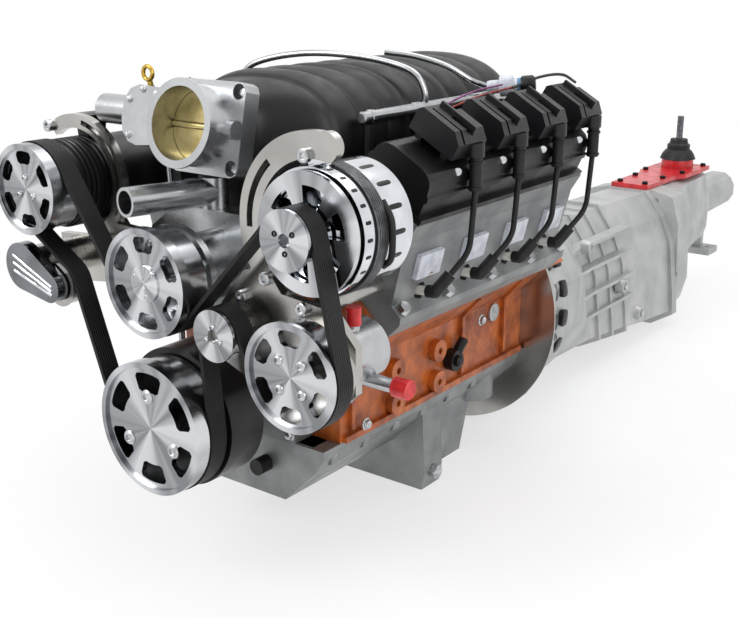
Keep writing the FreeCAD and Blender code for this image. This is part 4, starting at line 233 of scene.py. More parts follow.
def woven(grid):
    """Points and quads of a grid of points whose second parameter runs round and closes on itself."""
    rows, cols = grid.shape[:2]
    here = np.arange(rows * cols).reshape(rows, cols)
    beside = np.roll(here, -1, 1)
    quads = np.stack([here[:-1], beside[:-1], beside[1:], here[1:]], -1)
    return grid.reshape(-1, 3), quads.reshape(-1, 4)


def square_axes(aim):
    """An aim as a unit direction, with two more that stand square on it and on each other."""
    aim = np.asarray(aim, float) / np.linalg.norm(aim)
    side = np.cross(aim, (0.0, 1.0, 0.0) if abs(aim[1]) < 0.9 else (0.0, 0.0, 1.0))
    side /= np.linalg.norm(side)
    return aim, side, np.cross(aim, side)


def turned(profile, at, aim, sides=28, start=0.0):
    """Each (radius, height) of a profile is swung round the line through a place along an aim."""
    aim, side, other = square_axes(aim)
    radius, height = np.asarray(profile, float).T
    turn = np.linspace(0, 2 * np.pi, sides, endpoint=False) + start
    ring = np.cos(turn)[:, None] * side + np.sin(turn)[:, None] * other
    return woven(np.asarray(at, float) + height[:, None, None] * aim + radius[:, None, None] * ring)


def piece(name, shapes, made, body, sharp=36.0):
    """Joins shapes into one object on a body, with a material.

    Doubled points are merged, faces turn outwards, and an edge is sharp past an angle in degrees.
    """
    starts = np.cumsum([0] + [len(points) for points, _ in shapes])
    places = spot(np.concatenate([points for points, _ in shapes]))
    faces = np.concatenate([quads + start for (_, quads), start in zip(shapes, starts)])
    mesh = bpy.data.meshes.new(name)
    mesh.from_pydata(places.tolist(), [], faces.tolist())
    skin = bmesh.new()
    skin.from_mesh(mesh)
    bmesh.ops.remove_doubles(skin, verts=skin.verts, dist=1e-6)
    bmesh.ops.recalc_face_normals(skin, faces=skin.faces)
    skin.to_mesh(mesh)
    skin.free()
    mesh.polygons.foreach_set("use_smooth", np.ones(len(mesh.polygons), bool))
    mesh.set_sharp_from_angle(angle=math.radians(sharp))
    mesh.materials.append(made)
    made_object = bpy.data.objects.new(name, mesh)
    bpy.context.scene.collection.objects.link(made_object)
    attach(made_object, body)
    return made_object


def hexes(spots, aim, radius, height):
    """Hexagon heads on washers: six-sided turned forms with a domed top, all facing one way."""
    washer_profile = [(0, -0.5), (radius * 1.28, -0.5), (radius * 1.28, 1.3), (radius * 1.18, 1.8), (0, 1.8)]
    head_profile = [(0, 1.0), (radius, 1.0), (radius, height - 1.2), (radius * 0.9, height),
                    (radius * 0.5, height + 0.4), (0, height + 0.4)]
    shapes = []
    for at in spots:
        shapes.append(turned(washer_profile, at, aim, 24))
        # How far a head is turned follows from how far forward it is.
        shapes.append(turned(head_profile, at, aim, 6, start=at[2] % 1.0))
    return shapes


FLANK_ACROSS = 158.6
for side, bank in ((1, "left"), (-1, "right")):
    flank_bolts = [(side * FLANK_ACROSS, up, forward) for up, forward in ((40, 452), (-38, 452), (36, 150))]
    piece("block_side_bolts_" + bank, hexes(flank_bolts, (side, 0, 0), 7.0, 6.0), zinc, "engine")


# Crank train and timing drive
# Forged and ground steel inside the block: crankshaft, camshaft and roller chain, with cast pistons
# in the bores. Behind the block a cast flywheel carries the pressed clutch cover.

# All but the pistons share the dark soft sheen of milled iron.
dress(iron, "crankshaft", "camshaft", "timing_chain", "flywheel", "clutch_cover")
# As-cast piston alloy: pale grey with fine turned skirts.
piston_alloy = finish("turned_piston_alloy", "#97999a", "#bfc1c2", 18, 0.8, 0.03,
                      Metallic=1.0, Roughness=0.32)
dress(piston_alloy, "pistons")


# Timing cover and sensors
# Sand-cast aluminium cover screwed to the front of the block with zinc-plated flange bolts, and
# moulded black sensors with a bolt each beside the crank and on the block's left flank.

# Sand-cast aluminium: mid grey, blotched where the mould was hotter, with a dull sheen.
cast_alloy = finish("sand_cast_aluminium", "#7c7e7f", "#929494", 48, 1.8, 0.4,
                    Metallic=0.7, Roughness=0.42)
dress(cast_alloy, "timing_cover")
# Glass-filled nylon: near black, slightly grainy.
nylon = finish("moulded_black_nylon", "#070708", "#131315", 24, 1.4, 0.1,
               Roughness=0.4, Specular_IOR_Level=0.32)
dress(nylon, "sensors")
TIMING_COVER_FACE = 530.2
cover_bolts = [(side * across, up, TIMING_COVER_FACE) for side in (1, -1)
               for across, up in ((88, -46), (89, 0), (84, 56), (78, 112), (62, 168))]
piece("timing_cover_bolts", hexes(cover_bolts, (0, 0, 1), 6.0, 6.5), zinc, "engine")
knock_sensor_ring = turned([(0, 15.5), (9.0, 15.5), (9.0, 21.0), (5.0, 24.0), (0, 24.0)],
                           (146.0, -11.0, 222.0), (1, 0, 0))
knock_sensor_socket = turned([(0, 0), (8.0, 0), (8.0, 26.0), (6.5, 28.0), (0, 28.0)],
                             (154.0, -4.0, 214.0), (0.3, 0.9, -0.3), 20)
piece("knock_sensor_plug", [knock_sensor_ring, knock_sensor_socket], nylon, "engine")


# Oil pan
# Sand-cast aluminium pan, left as cast, that closes the block from below. A row of zinc-plated
# bolts on each side pulls its flange up against the block's rail.

dress(cast_alloy, "oil_pan")
PAN_BOLT_ACROSS = 137.0
PAN_FLANGE_LEVEL = -71.5
pan_bolts = [(side * PAN_BOLT_ACROSS, PAN_FLANGE_LEVEL, forward)
             for side in (1, -1) for forward in range(140, 520, 72)]
piece("pan_bolts", hexes(pan_bolts, (0, -1, 0), 6.0, 7.0), zinc, "engine")


# Cylinder heads
# Sand-cast aluminium heads held by hex-headed steel bolts. Flat plates of pale plastic close the
# exhaust ports for shipping, each with two small screws, and a brass sender sits in the left head.

dress(cast_alloy, "cylinder_head_left", "cylinder_head_right")
dress(zinc, "head_bolts")
# Sheet of hard pale plastic: bluish white, faintly cloudy, with a satin face.
pale_plastic = finish("pale_plastic_sheet", "#b4b7c2", "#d9dce3", 16, 1.0, 0.03, Roughness=0.3)
dress(pale_plastic, "port_covers")
# Bare brass: warm yellow, turned.
brass = finish("turned_brass", "#8a6b2a", "#c79d4c", 5, 0.6, 0.03, Metallic=1.0, Roughness=0.25)
SENDER_AT = (221.0, 199.0, 423.0)
SENDER_AIM = (0.82, -0.57, 0.0)
sender_hexagon = turned([(0, -24.0), (8.0, -24.0), (8.0, 7.0), (6.0, 8.0), (6.0, 17.0), (4.5, 18.0),
                         (0, 18.0)], SENDER_AT, SENDER_AIM, 6)
sender_tip = turned([(0, 17.0), (5.0, 17.0), (5.0, 26.0), (0, 26.0)], SENDER_AT, SENDER_AIM, 20)
piece("temperature_sender", [sender_hexagon, sender_tip], brass, "engine")


# Valve covers and filler cap
# Die-cast covers in satin black paint, each with a stepped double ridge along its side and a rim
# screwed to the head. The filler cap is moulded and twists off the right cover's neck.

# Satin black paint: soft grey highlights on rounded edges.
black_paint = finish("satin_black_paint", "#060607", "#101012", 26, 1.8, 0.1,
                     Roughness=0.34, Specular_IOR_Level=0.35)
dress(black_paint, "valve_cover_left", "valve_cover_right")
dress(nylon, "oil_filler_cap")


# Intake manifold
# One moulded barrel of glass-filled nylon between the heads. Its roof is an arch with a rounded
# hump over each runner, and its front is a smooth dome that falls to the throttle's snout.

def arch(forward, half, middle, above, below, power):
    """A closed superellipse section at one distance forward.

    Across and up are signed powers of cosine and sine about a middle height. The power 2 gives an
    ellipse, and a higher one squarer shoulders.
    """
    turn = np.linspace(0, 2 * np.pi, 96, endpoint=False)
    bow = 2.0 / power
    across = half * np.sign(np.cos(turn)) * np.abs(np.cos(turn)) ** bow
    rise = np.sign(np.sin(turn)) * np.abs(np.sin(turn)) ** bow
    up = middle + np.where(rise > 0, above, below) * rise
    return np.stack([across, up, np.full_like(turn, forward)], -1)


# Each section is its half width, its middle height, what is above and below that, and its power.
BARREL = np.array([129.0, 345.0, 84.0, 60.0, 2.5])
HUMP = np.array([6.0, 0.0, 9.0, 0.0, 0.0])
SNOUT = np.array([55.0, 366.0, 55.0, 55.0, 2.0])
HUMPS = 8
BARREL_REAR = 30.0
BARREL_FRONT = 476.0
DOME_LENGTH = 72.0
# The closed back bulges by 3 mm.
barrel_rows = [arch(BARREL_REAR, 2.0, 360.0, 2.0, 2.0, 2.0),
               arch(BARREL_REAR - 3.0, 96.0, 350.0, 56.0, 40.0, 2.6),
               arch(BARREL_REAR, 128.0, 345.0, 76.0, 60.0, 2.8)]
run = np.linspace(BARREL_REAR, BARREL_FRONT, 150)
swell = np.abs(np.sin((run - BARREL_REAR) / (BARREL_FRONT - BARREL_REAR) * HUMPS * np.pi)) ** 0.55
barrel_rows += [arch(f, *(BARREL + HUMP * s)) for f, s in zip(run[1:-1], swell[1:-1])]
for share in np.linspace(0, 1, 16):
    ease = share * share * (3 - 2 * share)
    barrel_rows.append(arch(BARREL_FRONT + DOME_LENGTH * share, *(BARREL + (SNOUT - BARREL) * ease)))
# The snout is open: a round mouth 21 mm deep leaves room for the throttle's open blade.
for forward, radius, middle in ((549.0, 50.0, 366.0), (528.0, 48.0, 363.0), (528.0, 1.0, 363.0)):
    barrel_rows.append(arch(forward, radius, middle, radius, radius, 2.0))
# The foot fills the valley between the heads: half its outline is mirrored, and both ends are
# drawn in towards its middle.
FOOT_MIDDLE = np.array([0, 260.0])
foot_half = [(70.0, 196.0), (118.0, 213.0), (134.0, 236.0), (150.0, 300.0), (146.0, 312.0), (120.0, 318.0)]
foot_outline = np.array(foot_half + [(-x, y) for x, y in reversed(foot_half)])
foot_rows = []
for size, forward in ((0.02, 24.0), (0.97, 24.0), (1.0, 28.0), (1.0, 489.0), (0.97, 493.0), (0.02, 493.0)):
    outline = foot_outline * size + FOOT_MIDDLE * (1 - size)
    foot_rows.append(np.column_stack([outline, np.full(len(outline), forward)]))
manifold = piece("intake_moulding", [woven(np.array(barrel_rows)), woven(np.array(foot_rows))],
                 nylon, "engine", 50.0)
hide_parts("intake_manifold")


# Throttle body
# Cast and machined aluminium: a bored barrel with a thin polished lip, a square flange bolted to the
# manifold through four pockets, and a geared motor housing with a moulded cover beside it.

# Machined casting: light grey with a fine satin grain.
machined_alloy = finish("machined_cast_aluminium", "#adafb1", "#c6c8ca", 60, 1.0, 0.07,
                        Metallic=1.0, Roughness=0.25)
dress(machined_alloy, "throttle_body")
# Warm-anodised disc: the brassy gold that shows down the bore.
gold_disc = finish("anodised_throttle_disc", "#a5935c", "#d2c189", 30, 0.8, 0.02,
                   Metallic=1.0, Roughness=0.24)
dress(gold_disc, "throttle_blade")
THROTTLE_TILT = math.radians(12.0)
THROTTLE_LEVEL = 384.0
THROTTLE_FRONT = 628.0


def in_throttle(across, up, forward):
    """A point of the throttle's own axes, which are tilted back about its front face."""
    return (across, THROTTLE_LEVEL + math.cos(THROTTLE_TILT) * up + math.sin(THROTTLE_TILT) * forward,
            THROTTLE_FRONT - math.sin(THROTTLE_TILT) * up + math.cos(THROTTLE_TILT) * forward)


throttle_aim = (0.0, math.sin(THROTTLE_TILT), math.cos(THROTTLE_TILT))
FLANGE_CORNER = 48.0
FLANGE_DEPTH = 68.0
flange_corners = [in_throttle(across, up, -FLANGE_DEPTH) for across in (-FLANGE_CORNER, FLANGE_CORNER)
                  for up in (-FLANGE_CORNER, FLANGE_CORNER)]
piece("throttle_bolts", hexes(flange_corners, throttle_aim, 6.0, 9.0), zinc, "engine")
MOTOR_COVER_DEPTH = 14.6
motor_cover_spots = [in_throttle(across, up, -MOTOR_COVER_DEPTH)
                     for across, up in ((-58, 34), (-58, -24), (-108, 24), (-104, -22), (-84, 38))]
piece("throttle_cover_screws", hexes(motor_cover_spots, throttle_aim, 3.6, 3.6), zinc, "engine")


# Fuel rails
# Plated steel tubes over the injectors, joined across the front by a bent tube. A pressure sensor in
# pale plastic with a blue seal, a ribbed yellow plug and thin coloured wires sit on the left rail.

# Plated tube: bright, slightly clouded.
tube_steel = finish("plated_steel_tube", "#a6a8aa", "#bfc1c3", 30, 0.8, 0.02, Metallic=1.0, Roughness=0.2)
dress(nylon, "fuel_injectors")


def wire(points, radius, sides=10, steps=40):
    """A round wire through points: a cubic Hermite curve with centred slopes and a ring carried along it."""
    knots = np.asarray(points, float)
    slope = np.gradient(knots, axis=0)
    t = np.linspace(0, len(knots) - 1, steps)
    i = np.minimum(t.astype(int), len(knots) - 2)
    u = (t - i)[:, None]
    line = ((2 * u ** 3 - 3 * u ** 2 + 1) * knots[i] + (u ** 3 - 2 * u ** 2 + u) * slope[i]
            + (3 * u ** 2 - 2 * u ** 3) * knots[i + 1] + (u ** 3 - u ** 2) * slope[i + 1])
    aim = np.gradient(line, axis=0)
    aim /= np.linalg.norm(aim, axis=1, keepdims=True)
    # The ring starts from a direction that the wire as a whole stays well away from.
    climb, ahead = np.abs(aim.mean(0)[1:])
    side = np.cross(aim, (0.31, 0.27, 0.91) if climb > ahead else (0.31, 0.91, 0.27))
    side /= np.linalg.norm(side, axis=1, keepdims=True)
    other = np.cross(aim, side)
    turn = np.linspace(0, 2 * np.pi, sides, endpoint=False)
    ring = np.cos(turn)[None, :, None] * side[:, None] + np.sin(turn)[None, :, None] * other[:, None]
    ends = [np.repeat(line[k][None, None], sides, 1) for k in (0, -1)]
    return woven(np.concatenate([ends[0], line[:, None] + radius * ring, ends[1]]))


RAIL_ACROSS = 146.0
RAIL_LEVEL = 382.0
RAIL_FRONT = 445.0
RAIL_LENGTH = 385.0
RAIL_RADIUS = 8.3
# Three collars stand on each rail: where each starts and ends, and its radius.
rail_profile = [(0, 0), (6.0, 0), (RAIL_RADIUS, 2.0)]
for start, end, collar in ((17.0, 24.0, 9.6), (119.0, 131.0, 9.4), (251.0, 263.0, 9.4)):
    rail_profile += [(RAIL_RADIUS, start - 1.0), (collar, start), (collar, end), (RAIL_RADIUS, end + 1.0)]
rail_profile += [(RAIL_RADIUS, RAIL_LENGTH - 2.0), (6.0, RAIL_LENGTH), (0, RAIL_LENGTH)]
rail_tubes = [turned(rail_profile, (side * RAIL_ACROSS, RAIL_LEVEL, RAIL_FRONT), (0, 0, -1), 32)
              for side in (1, -1)]
# The crossover lies close over the roof's humps, and a shorter tube leaves it for the left rail's sensor.
crossover_route = [(RAIL_ACROSS, RAIL_LEVEL, 300), (146, 404, 300), (130, 428, 302), (90, 441, 308),
                   (32, 449, 320), (-32, 450, 334), (-90, 442, 346), (-130, 428, 354), (-146, 404, 358),
                   (-RAIL_ACROSS, RAIL_LEVEL, 358)]
sensor_tube_route = [(36, 449, 242), (78, 444, 226), (118, 431, 204), (146, 410, 180), (152, 400, 150)]
rail_tubes += [wire(crossover_route, 4.6, 14, 90), wire(sensor_tube_route, 4.4, 14, 60)]
rails = piece("fuel_rail_tubes", rail_tubes, tube_steel, "engine")
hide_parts("fuel_rails")

# The pressure sensor's shell, its seal ring and its plug stand in one line.
PRESSURE_SENSOR_AT = (168.0, 398.0, 122.0)
PRESSURE_SENSOR_AIM = (0.9, 0.1, -0.42)
# Blue seal rubber: matt, slightly mottled.
blue_rubber = finish("blue_seal_rubber", "#3f6f94", "#5c92b8", 5, 0.6, 0.03, Roughness=0.5)
for name, profile, sides, made, slot in (
        ("fuel_sensor_body", [(0, -24.0), (9.0, -24.0), (10.0, -20.0), (10.0, -6.0), (15.0, -5.0), (15.5, 0),
                              (15.0, 14.0), (10.5, 16.0), (10.0, 22.0), (0, 22.0)], 28, pale_plastic,
         "pale_plastic"),
        ("fuel_sensor_seal", [(0, 20.0), (9.0, 20.0), (10.5, 22.0), (10.5, 28.0), (0, 28.0)], 28, blue_rubber,
         "rubber_black"),
        ("fuel_sensor_plug", [(0, 27.0), (12.0, 27.0), (13.0, 30.0), (13.0, 44.0), (9.0, 48.0), (0, 48.0)],
         18, nylon, "moulded_black")):
    piece(name, [turned(profile, PRESSURE_SENSOR_AT, PRESSURE_SENSOR_AIM, sides)], made, "engine")

# Yellow moulded plug: semi-gloss, with finger ribs every 4 mm.
yellow_plastic = finish("moulded_yellow_plastic", "#a99c18", "#d8cd3a", 6, 0.8, 0.05, Roughness=0.4)
finger_ribs = [(7.5 if k % 2 else 9.0, -14.0 + 2.0 * k) for k in range(13)]
piece("injector_plug_yellow", [turned([(0, -14.0)] + finger_ribs + [(6.0, 13.0), (0, 13.0)],
                                      (152.0, 372.0, 300.0), (0.75, 0.2, 0.62), 20)], yellow_plastic,
      "engine")
# Thin leads of the injector loom: soft coloured insulation with a dull sheen.
for colour, dark, light, radius, route in (
        ("purple", "#5d2c58", "#8c4a86", 1.5,
         [(160, 378, 292), (170, 392, 250), (172, 399, 200), (176, 402, 140)]),
        ("red", "#6e211c", "#a23a32", 1.5,
         [(164, 374, 292), (176, 386, 246), (180, 393, 196), (188, 399, 110)]),
        ("black", "#0a0a0b", "#1b1b1c", 2.2,
         [(190, 398, 132), (214, 412, 96), (232, 414, 60), (236, 400, 22)])):
    insulation = finish("wire_insulation_" + colour, dark, light, 8, 1.0, 0.02, Roughness=0.45)
    piece("loom_wire_" + colour, [wire(route, radius)], insulation, "engine")


# Ignition
# Epoxy-filled coils on black rails over each cover, held by two plated screws each. Rubber-jacketed
# leads run from each coil's tower down to the boot on its plug.

# Coil epoxy: near black, slightly glossy, with sharp pale edges.
coil_black = finish("coil_epoxy_and_laminations", "#0a0a0c", "#17171a", 18, 1.2, 0.08,
                    Roughness=0.34, Specular_IOR_Level=0.4)
dress(coil_black, "coil_packs")
dress(black_paint, "coil_brackets")
# Rubber: dull black with a soft bloom.
rubber = finish("black_rubber", "#0a0a0b", "#161617", 15, 0.9, 0.05, Roughness=0.5, Specular_IOR_Level=0.35)
dress(rubber, "plug_leads_left", "plug_leads_right", "plug_boots")
# Glazed porcelain: white and glassy.
porcelain = finish("glazed_porcelain", "#d6d4cb", "#ebe9e2", 6, 0.8, 0.01, Roughness=0.12)
dress(porcelain, "spark_plugs")
BORE_PITCH = 111.76
coil_screw_spots = ((223.0, 374.0, 385.0), (275.0, 322.0, 414.0))
coil_screw_profile = [(0, -28.0), (3.2, -28.0), (3.2, 0), (5.4, 0), (5.4, 3.6), (4.6, 4.4), (0, 4.4)]
boot_ring_profile = [(9.2, 0), (10.2, 0.6), (10.2, 3.4), (9.2, 4.0), (8.3, 4.0), (8.3, 0)]
# The right bank stands 24 mm behind the left one, as the bores of a V engine do.
for side, bank, stagger in ((1, "left", 0.0), (-1, "right", -24.0)):
    # Screws through each coil's ears, one high on its front and one low on its outboard edge.
    coil_screws = [turned(coil_screw_profile, (side * across, up, forward + stagger - BORE_PITCH * k),
                          (side * 0.55, 0.25, 0.8), 12)
                   for k in range(4) for across, up, forward in coil_screw_spots]
    piece("coil_screws_" + bank, coil_screws, zinc, "engine")
    boot_rings = [turned(boot_ring_profile, (side * 286.0, up, 388.0 + stagger - BORE_PITCH * k),
                         (0, 1, 0), 24)
                  for k in range(4) for up in (297.0, 330.0)]
    piece("boot_rings_" + bank, boot_rings, rubber, "engine")


# Water pump and hose necks
# Sand-cast pump with a milled face, bolted over the timing cover by six bolts on a circle, with
# turned aluminium necks for the coolant hoses.

dress(machined_alloy, "water_pump_housing", "hose_necks")
PUMP_RISE = 193.0
PUMP_FACE = 646.2
PUMP_BOLT_REACH = 54.0
pump_bolts = [(PUMP_BOLT_REACH * math.cos(angle), PUMP_RISE + PUMP_BOLT_REACH * math.sin(angle), PUMP_FACE)
              for angle in (k * math.pi / 3 + 0.4 for k in range(6))]
piece("pump_flange_bolts", hexes(pump_bolts, (0, 0, 1), 5.0, 5.0), zinc, "engine")


# Accessory brackets
# Plates cut from thick aluminium and satin polished along their length, each held by plated
# socket-head cap screws.

# Satin-polished plate: long soft streaks, mid grey.
plate_alloy = finish("satin_polished_plate", "#a9a7a3", "#bebcb8", 90, 0.9, 0.02,
                     Metallic=1.0, Roughness=0.22)
dress(plate_alloy, "alternator_bracket", "accessory_bracket")


def socket_screws(spots, radius, height, aim=(0, 0, 1)):
    """Cap screws: a turned head with a chamfered rim and a sunken round socket."""
    profile = [(0, -1.0), (radius, -1.0), (radius, height - 0.8), (radius * 0.88, height),
               (radius * 0.5, height), (radius * 0.5, height - 2.5), (0, height - 2.5)]
    return [turned(profile, at, aim, 24) for at in spots]


LEFT_PLATE_FACE = 637
RIGHT_PLATE_FACE = 612
bracket_spots = [(across, up, LEFT_PLATE_FACE)
                 for across, up in ((214, 366), (111, 183), (207, 184), (150, 212))]
bracket_spots += [(across, up, RIGHT_PLATE_FACE) for across, up in ((-272, 357), (-163, 209), (-120, 215))]
piece("bracket_screws", socket_screws(bracket_spots, 8.5, 7.0), zinc, "engine")


# Power steering pump
# Machined aluminium body bolted behind its bracket. Its steel fittings are closed for shipping by
# push-on caps of red vinyl.

dress(machined_alloy, "power_steering_pump")
# Red vinyl cap: soft gloss.
red_cap = finish("red_vinyl_cap", "#b0161b", "#dd2f32", 12, 1.0, 0.03, Roughness=0.32)
dress(red_cap, "power_steering_caps")


# Compressor
# Cast body in satin black paint, bolted behind the right bracket. Ribs turned round its clutch show
# between the body and the pulley.

dress(black_paint, "ac_compressor")
COOLER = (-220.0, 286.0)
clutch_rings = [turned([(58.2, f), (60.5, f + 0.8), (60.5, f + 4.2), (58.2, f + 5.0), (56.0, f + 2.5)],
                       (*COOLER, 0.0), (0, 0, 1), 64) for f in np.arange(600.0, 648.0, 8.0)]
piece("compressor_clutch_ribs", clutch_rings, black_paint, "engine")


# Alternator
# Chrome-plated die-cast frames clamp a black stator pack, with dark pads of painted shade where air slots go
# round them. A polished windowed fan turns in front, and one black cable loops down the outer side.

# Chrome plate: almost a mirror, faintly blue.
chrome = finish("chrome_plate", "#c9ccd1", "#e2e5e9", 40, 1.0, 0.01, Metallic=1.0, Roughness=0.07)
dress(chrome, "alternator_frames")
dress(black_paint, "alternator_stator")
ALTERNATOR = (224.5, 279.0)
FRAME_RADIUS = 76.0


def shade_pads_round(centre, radius, forward, length, width, angles, lift, sink=1.0):
    """Dark pads of painted shade laid on a cylinder where slots are: ovals in arc length and forward, wrapped
    to its radius.

    A pad's face stands proud of the cylinder by the lift, the foot of its rim by two fifths of that,
    and its back lies inside by the sink.
    """
    turn = np.linspace(0, 2 * np.pi, 20, endpoint=False)
    oval_across = np.sign(np.cos(turn)) * np.abs(np.cos(turn)) ** 0.7
    oval_along = np.sign(np.sin(turn)) * np.abs(np.sin(turn)) ** 0.5
    shapes = []
    for middle in angles:
        rings = []
        for share, rise in ((0.0, lift), (0.9, lift), (1.0, lift * 0.4), (1.0, -sink), (0.0, -sink)):
            angle = middle + share * width / 2 * oval_across / radius
            rings.append(np.stack([centre[0] + (radius + rise) * np.cos(angle),
                                   centre[1] + (radius + rise) * np.sin(angle),
                                   forward + share * length / 2 * oval_along], -1))
        shapes.append(woven(np.array(rings)))
    return shapes


# The slots' dark insides are painted shade: black pads on the chrome frames.
front_slot_shade = shade_pads_round(ALTERNATOR, FRAME_RADIUS, 631.0, 10.0, 4.5, np.arange(24) * np.pi / 12, 0.35)
rear_slot_shade = shade_pads_round(ALTERNATOR, FRAME_RADIUS, 576.0, 26.0, 6.5, np.arange(16) * np.pi / 8, 0.35)
piece("alternator_slot_shade", front_slot_shade + rear_slot_shade, black_paint, "engine")
pack_rings = [turned([(78.0, f), (79.2, f + 0.5), (79.2, f + 2.0), (78.0, f + 2.5), (76.0, f + 1.2)],
                     (*ALTERNATOR, 0.0), (0, 0, 1), 64) for f in np.arange(599.5, 617.0, 3.4)]
piece("stator_laminations", pack_rings, iron, "engine")
cable_route = [(291, 317, 596), (305, 298, 598), (307, 272, 598), (303, 251, 596), (290, 240, 592)]
piece("alternator_cable", [wire(cable_route, 4.0, 14)], rubber, "engine")


def billet(name, centre, dark, light, roughness):
    """Turned aluminium: painted reflection in pale and dark wedges by the direction from a centre, lathe
    rings by the distance.
    """
    made, tree, shader = material(name, Metallic=1.0, Roughness=roughness)
    place = node(tree, "ShaderNodeTexCoord").outputs["Object"]
    off = node(tree, "ShaderNodeVectorMath", {"operation": "SUBTRACT"}, i0=place, i1=tuple(spot([centre])[0]))
    flat = node(tree, "ShaderNodeVectorMath", {"operation": "MULTIPLY"},
                i0=off.outputs[0], i1=(1.0, 0.0, 1.0))
    way = node(tree, "ShaderNodeVectorMath", {"operation": "NORMALIZE"}, i0=flat.outputs[0])
    # Painted reflection: pale and dark wedges by the direction from the centre, as a turned face mirrors the
    # room.
    painted_reflection_wedge = node(tree, "ShaderNodeTexNoise", Vector=way.outputs[0], Scale=1.7, Detail=1.5)
    spread = node(tree, "ShaderNodeMapRange", Value=painted_reflection_wedge.outputs["Fac"], From_Min=0.36, From_Max=0.64)
    tint = node(tree, "ShaderNodeMix", {"data_type": "RGBA"}, Factor=spread.outputs["Result"],
                A=linear(dark), B=linear(light))
    tree.links.new(tint.outputs["Result"], shader.inputs["Base Color"])
    far = node(tree, "ShaderNodeVectorMath", {"operation": "LENGTH"}, i0=flat.outputs[0])
    # Lathe rings 0.8 mm apart, coarser than real ones so that they show.
    rings = node(tree, "ShaderNodeTexNoise", {"noise_dimensions": "1D"}, W=far.outputs["Value"], Scale=1250.0)
    bump = node(tree, "ShaderNodeBump", Height=rings.outputs["Fac"], Distance=0.00003)
    tree.links.new(bump.outputs["Normal"], shader.inputs["Normal"])
    return made


# Polished billet: painted reflection in pale and dark wedges about the fan's centre.
fan_billet_painted_reflection = billet("pulley_billet_painted_reflection_fan", (*ALTERNATOR, 650.0), "#8d8f93", "#d8dadd", 0.16)
dress(fan_billet_painted_reflection, "alternator_rotor", "alternator_pulley")
# Black-oxide screws: dark with an oily sheen.
black_oxide = finish("black_oxide_steel", "#141416", "#2b2b2e", 4, 0.6, 0.02, Metallic=0.9, Roughness=0.35)
NOSE_FACE = 690.0
NOSE_SCREW_REACH = 15.0
nose_spots = [(ALTERNATOR[0] + NOSE_SCREW_REACH * math.cos(a), ALTERNATOR[1] + NOSE_SCREW_REACH * math.sin(a),
               NOSE_FACE) for a in (0.6, 2.7, 4.8)]
piece("nose_screws", socket_screws(nose_spots, 3.6, 1.2), black_oxide, "alternator")


# Pulleys and damper
# Each pulley is turned and milled from a billet: a polished lip, a recessed web and button-head
# screws, with windows milled through the larger ones. The damper is cast iron painted black.

dress(black_paint, "crank_damper")


def buttons(spots, radius):
    """Button-head screws: a low turned dome with a sunken socket."""
    profile = [(0, -1.0), (radius, -1.0), (radius, 0.8), (radius * 0.86, 2.4), (radius * 0.55, 3.6),
               (radius * 0.48, 3.6), (radius * 0.48, 1.2), (0, 1.2)]
    return [turned(profile, at, (0, 0, 1), 28) for at in spots]


# Turned billet: painted reflection in pale and dark wedges round each pulley's own centre. Each row is the
# pulley, its centre, how far forward its web is, its screws and their radius, and the body that it turns on.
for pulley, centre, web, screws, size, body in (
        ("crank_pulley", (0.0, 0.0), 702.0, [(-3, 43), (-42, -23), (40, -21)], 10.0, "crank"),
        ("water_pump_pulley", (0.0, 193.0), 696.0, [(14, 207), (-16, 200), (3, 176)], 5.0, "water_pump"),
        ("power_steering_pulley", (227.0, 117.0), 687.0, [(209, 135), (244, 135), (210, 99), (244, 99)], 7.0,
         "power_steering"),
        ("ac_pulley", COOLER, 699.0, [(-220, 302), (-206, 278), (-234, 278)], 4.5, "cooler"),
        ("idler_pulley", (108.0, 144.0), 690.0, [(108, 156), (119, 138), (97, 138)], 3.6, "idler")):
    pulley_billet_painted_reflection = billet("pulley_billet_painted_reflection_" + pulley, (*centre, web), "#85878b", "#d3d5d8", 0.2)
    dress(pulley_billet_painted_reflection, pulley)
    piece(pulley + "_screws", buttons([(x, y, web) for x, y in screws], size), zinc, body)
# The water pump's pulley has a cap over its hub, polished brighter than its web: smoother, and with paler
# painted reflection in its wedges.
PUMP_CAP_AT = (0.0, PUMP_RISE, 696.0)
cap_billet_painted_reflection = billet("pulley_billet_painted_reflection_cap", PUMP_CAP_AT, "#9a9ca0", "#dcdee0", 0.14)
cap_profile = [(0, -1.0), (24.0, -1.0), (24.0, 2.2), (22.5, 3.2), (6.0, 3.2), (5.0, 2.0), (0, 2.0)]
piece("water_pump_pulley_cap", [turned(cap_profile, PUMP_CAP_AT, (0, 0, 1), 56)], cap_billet_painted_reflection, "water_pump")


# Tensioner
# Billet arm with a drop-shaped polished cover, on a sprung post. The three milled grooves across
# the cover catch the light: their highlights are painted as bright chrome bars.

dress(plate_alloy, "tensioner_base", "tensioner_pulley")
# Smoked chrome: darker than the alternator's, and nearly as sharp a mirror.
dark_chrome = finish("polished_tensioner_cover", "#6d6f73", "#96999e", 60, 0.9, 0.01,
                     Metallic=1.0, Roughness=0.1)
dress(dark_chrome, "tensioner_arm")
TENSIONER_FACE = 703.3
groove_highlight_bars = []
# Bright chrome bars: painted highlights where the cover's grooves catch the light.
for shift in (-11.0, 0.0, 11.0):
    ends = np.array([[-256.0, 181.0 + shift, TENSIONER_FACE], [-178.0, 153.0 + shift * 0.55, TENSIONER_FACE]])
    groove_highlight_bars.append(wire([ends[0], ends.mean(0), ends[1]], 2.2, 10, 12))
piece("tensioner_groove_highlights", groove_highlight_bars, chrome, "tensioner")


# Belt
# One closed belt of fibre-reinforced rubber with six ribs inside, pulled tight by the tensioner:
# dull black, clouded, with fine lengthwise grooves.

